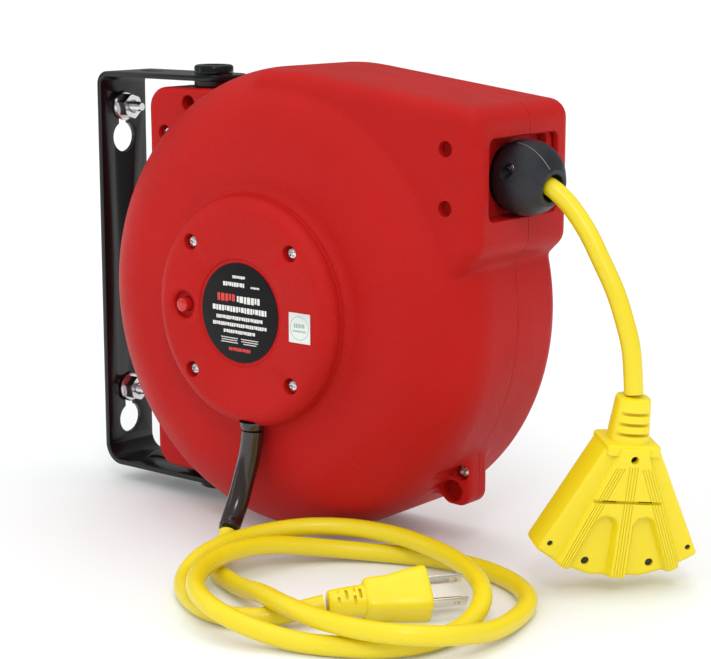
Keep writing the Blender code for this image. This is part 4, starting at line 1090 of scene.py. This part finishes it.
def floor():
    bm = bmesh.new()
    bmesh.ops.create_grid(bm, x_segments=2, y_segments=2, size=40)
    mesh = bpy.data.meshes.new("floor")
    bm.to_mesh(mesh)
    bm.free()
    obj = placed_object("floor", mesh)
    obj.location.z = (FLOOR_Z - 0.4) * MM
    white, tree, bsdf = shader("floor_white_painted_shade", (0.9, 0.9, 0.9), 0.7, Emission_Color=(1, 1, 1, 1),
                               Emission_Strength=0.06)
    # Painted shade: the floor's colour is darker and a little cyan within 0.5 m of its middle, under the
    # reel, and plain white past 0.9 m. This deepens the shadows there and cancels the red light bounced off
    # the casing.
    away = added(tree, "VectorMath", "LENGTH")
    tree.links.new(added(tree, "TexCoord").outputs["Object"], away.inputs[0])
    tone = ramped(tree, away.outputs["Value"], (0.765, 0.79, 0.79), (0.9, 0.9, 0.9), 0.5, 0.9)
    tree.links.new(tone, bsdf.inputs["Base Color"])
    mesh.materials.append(white)


MIDDLE = Vector((0.16, 0.0, 0.0))


def softbox(name, at, size, power):
    light = bpy.data.lights.new(name, "AREA")
    light.shape = "RECTANGLE"
    light.size, light.size_y = size
    light.energy = power
    obj = placed_object(name, light)
    obj.location = at
    obj.rotation_euler = (MIDDLE - Vector(at)).to_track_quat("-Z", "Y").to_euler()


def studio():
    """A white room that is dark below and bright above, and dimmer in reflections, with three soft lights."""
    scene = bpy.context.scene
    scene.view_settings.view_transform = "Standard"
    world = scene.world = bpy.data.worlds.new("studio")
    world.use_nodes = True
    tree = world.node_tree
    backdrop = filled(tree.nodes["Background"], {"Color": (1, 1, 1, 1)})
    toward = added(tree, "VectorMath", "DOT_PRODUCT")
    toward.inputs[1].default_value = (0.05, -0.3, 0.95)
    spread = added(tree, "MapRange", From_Min=-1.0, From_Max=1.0, To_Min=0.06, To_Max=1.46)
    path = added(tree, "LightPath")
    shine = added(tree, "MapRange", To_Min=1.0, To_Max=0.32)
    dimmed = added(tree, "Math", "MULTIPLY")
    seen = added(tree, "Math", "MAXIMUM")
    tree.links.new(added(tree, "TexCoord").outputs["Generated"], toward.inputs[0])
    tree.links.new(toward.outputs["Value"], spread.inputs["Value"])
    tree.links.new(path.outputs["Is Glossy Ray"], shine.inputs["Value"])
    tree.links.new(spread.outputs["Result"], dimmed.inputs[0])
    tree.links.new(shine.outputs["Result"], dimmed.inputs[1])
    tree.links.new(dimmed.outputs["Value"], seen.inputs[0])
    tree.links.new(path.outputs["Is Camera Ray"], seen.inputs[1])
    tree.links.new(seen.outputs["Value"], backdrop.inputs["Strength"])
    softbox("key", (1.15, -1.1, 1.25), (0.4, 0.4), 6)
    softbox("side", (-1.1, -1.0, 0.5), (0.3, 0.9), 1.0)
    softbox("top", (0.2, 0.2, 1.6), (0.9, 0.9), 3)


def camera():
    data = bpy.data.cameras.new("camera")
    data.lens = 96.47
    data.sensor_width = 36
    data.clip_end = 100
    obj = placed_object("camera", data)
    azimuth, elevation, distance = math.radians(38.64), math.radians(11.0), 1.0353
    target = Vector((0.1715, 0.0059, -0.0186))
    level = math.cos(elevation)
    ahead = Vector((-math.sin(azimuth) * level, math.cos(azimuth) * level, -math.sin(elevation)))
    obj.location = target - ahead * distance
    obj.rotation_euler = ahead.to_track_quat("-Z", "Y").to_euler()
    bpy.context.scene.camera = obj


def finish_frame():
    """The frame's own pieces that stay in view take the finish that their slot names."""
    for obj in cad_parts.values():
        if obj.type != "MESH":
            continue
        for slot in obj.material_slots:
            wanted = slot.material.name.split(".")[0] if slot.material else ""
            if wanted in FINISH:
                slot.material = FINISH[wanted]
        if not obj.material_slots:
            obj.data.materials.append(STEEL)


camera()
studio()
floor()
cords()
casing()
hub_cover()
hub_trim()
screws()
outlet_guide()
cord_stop()
bracket()
bracket_fixings()
finish_frame()
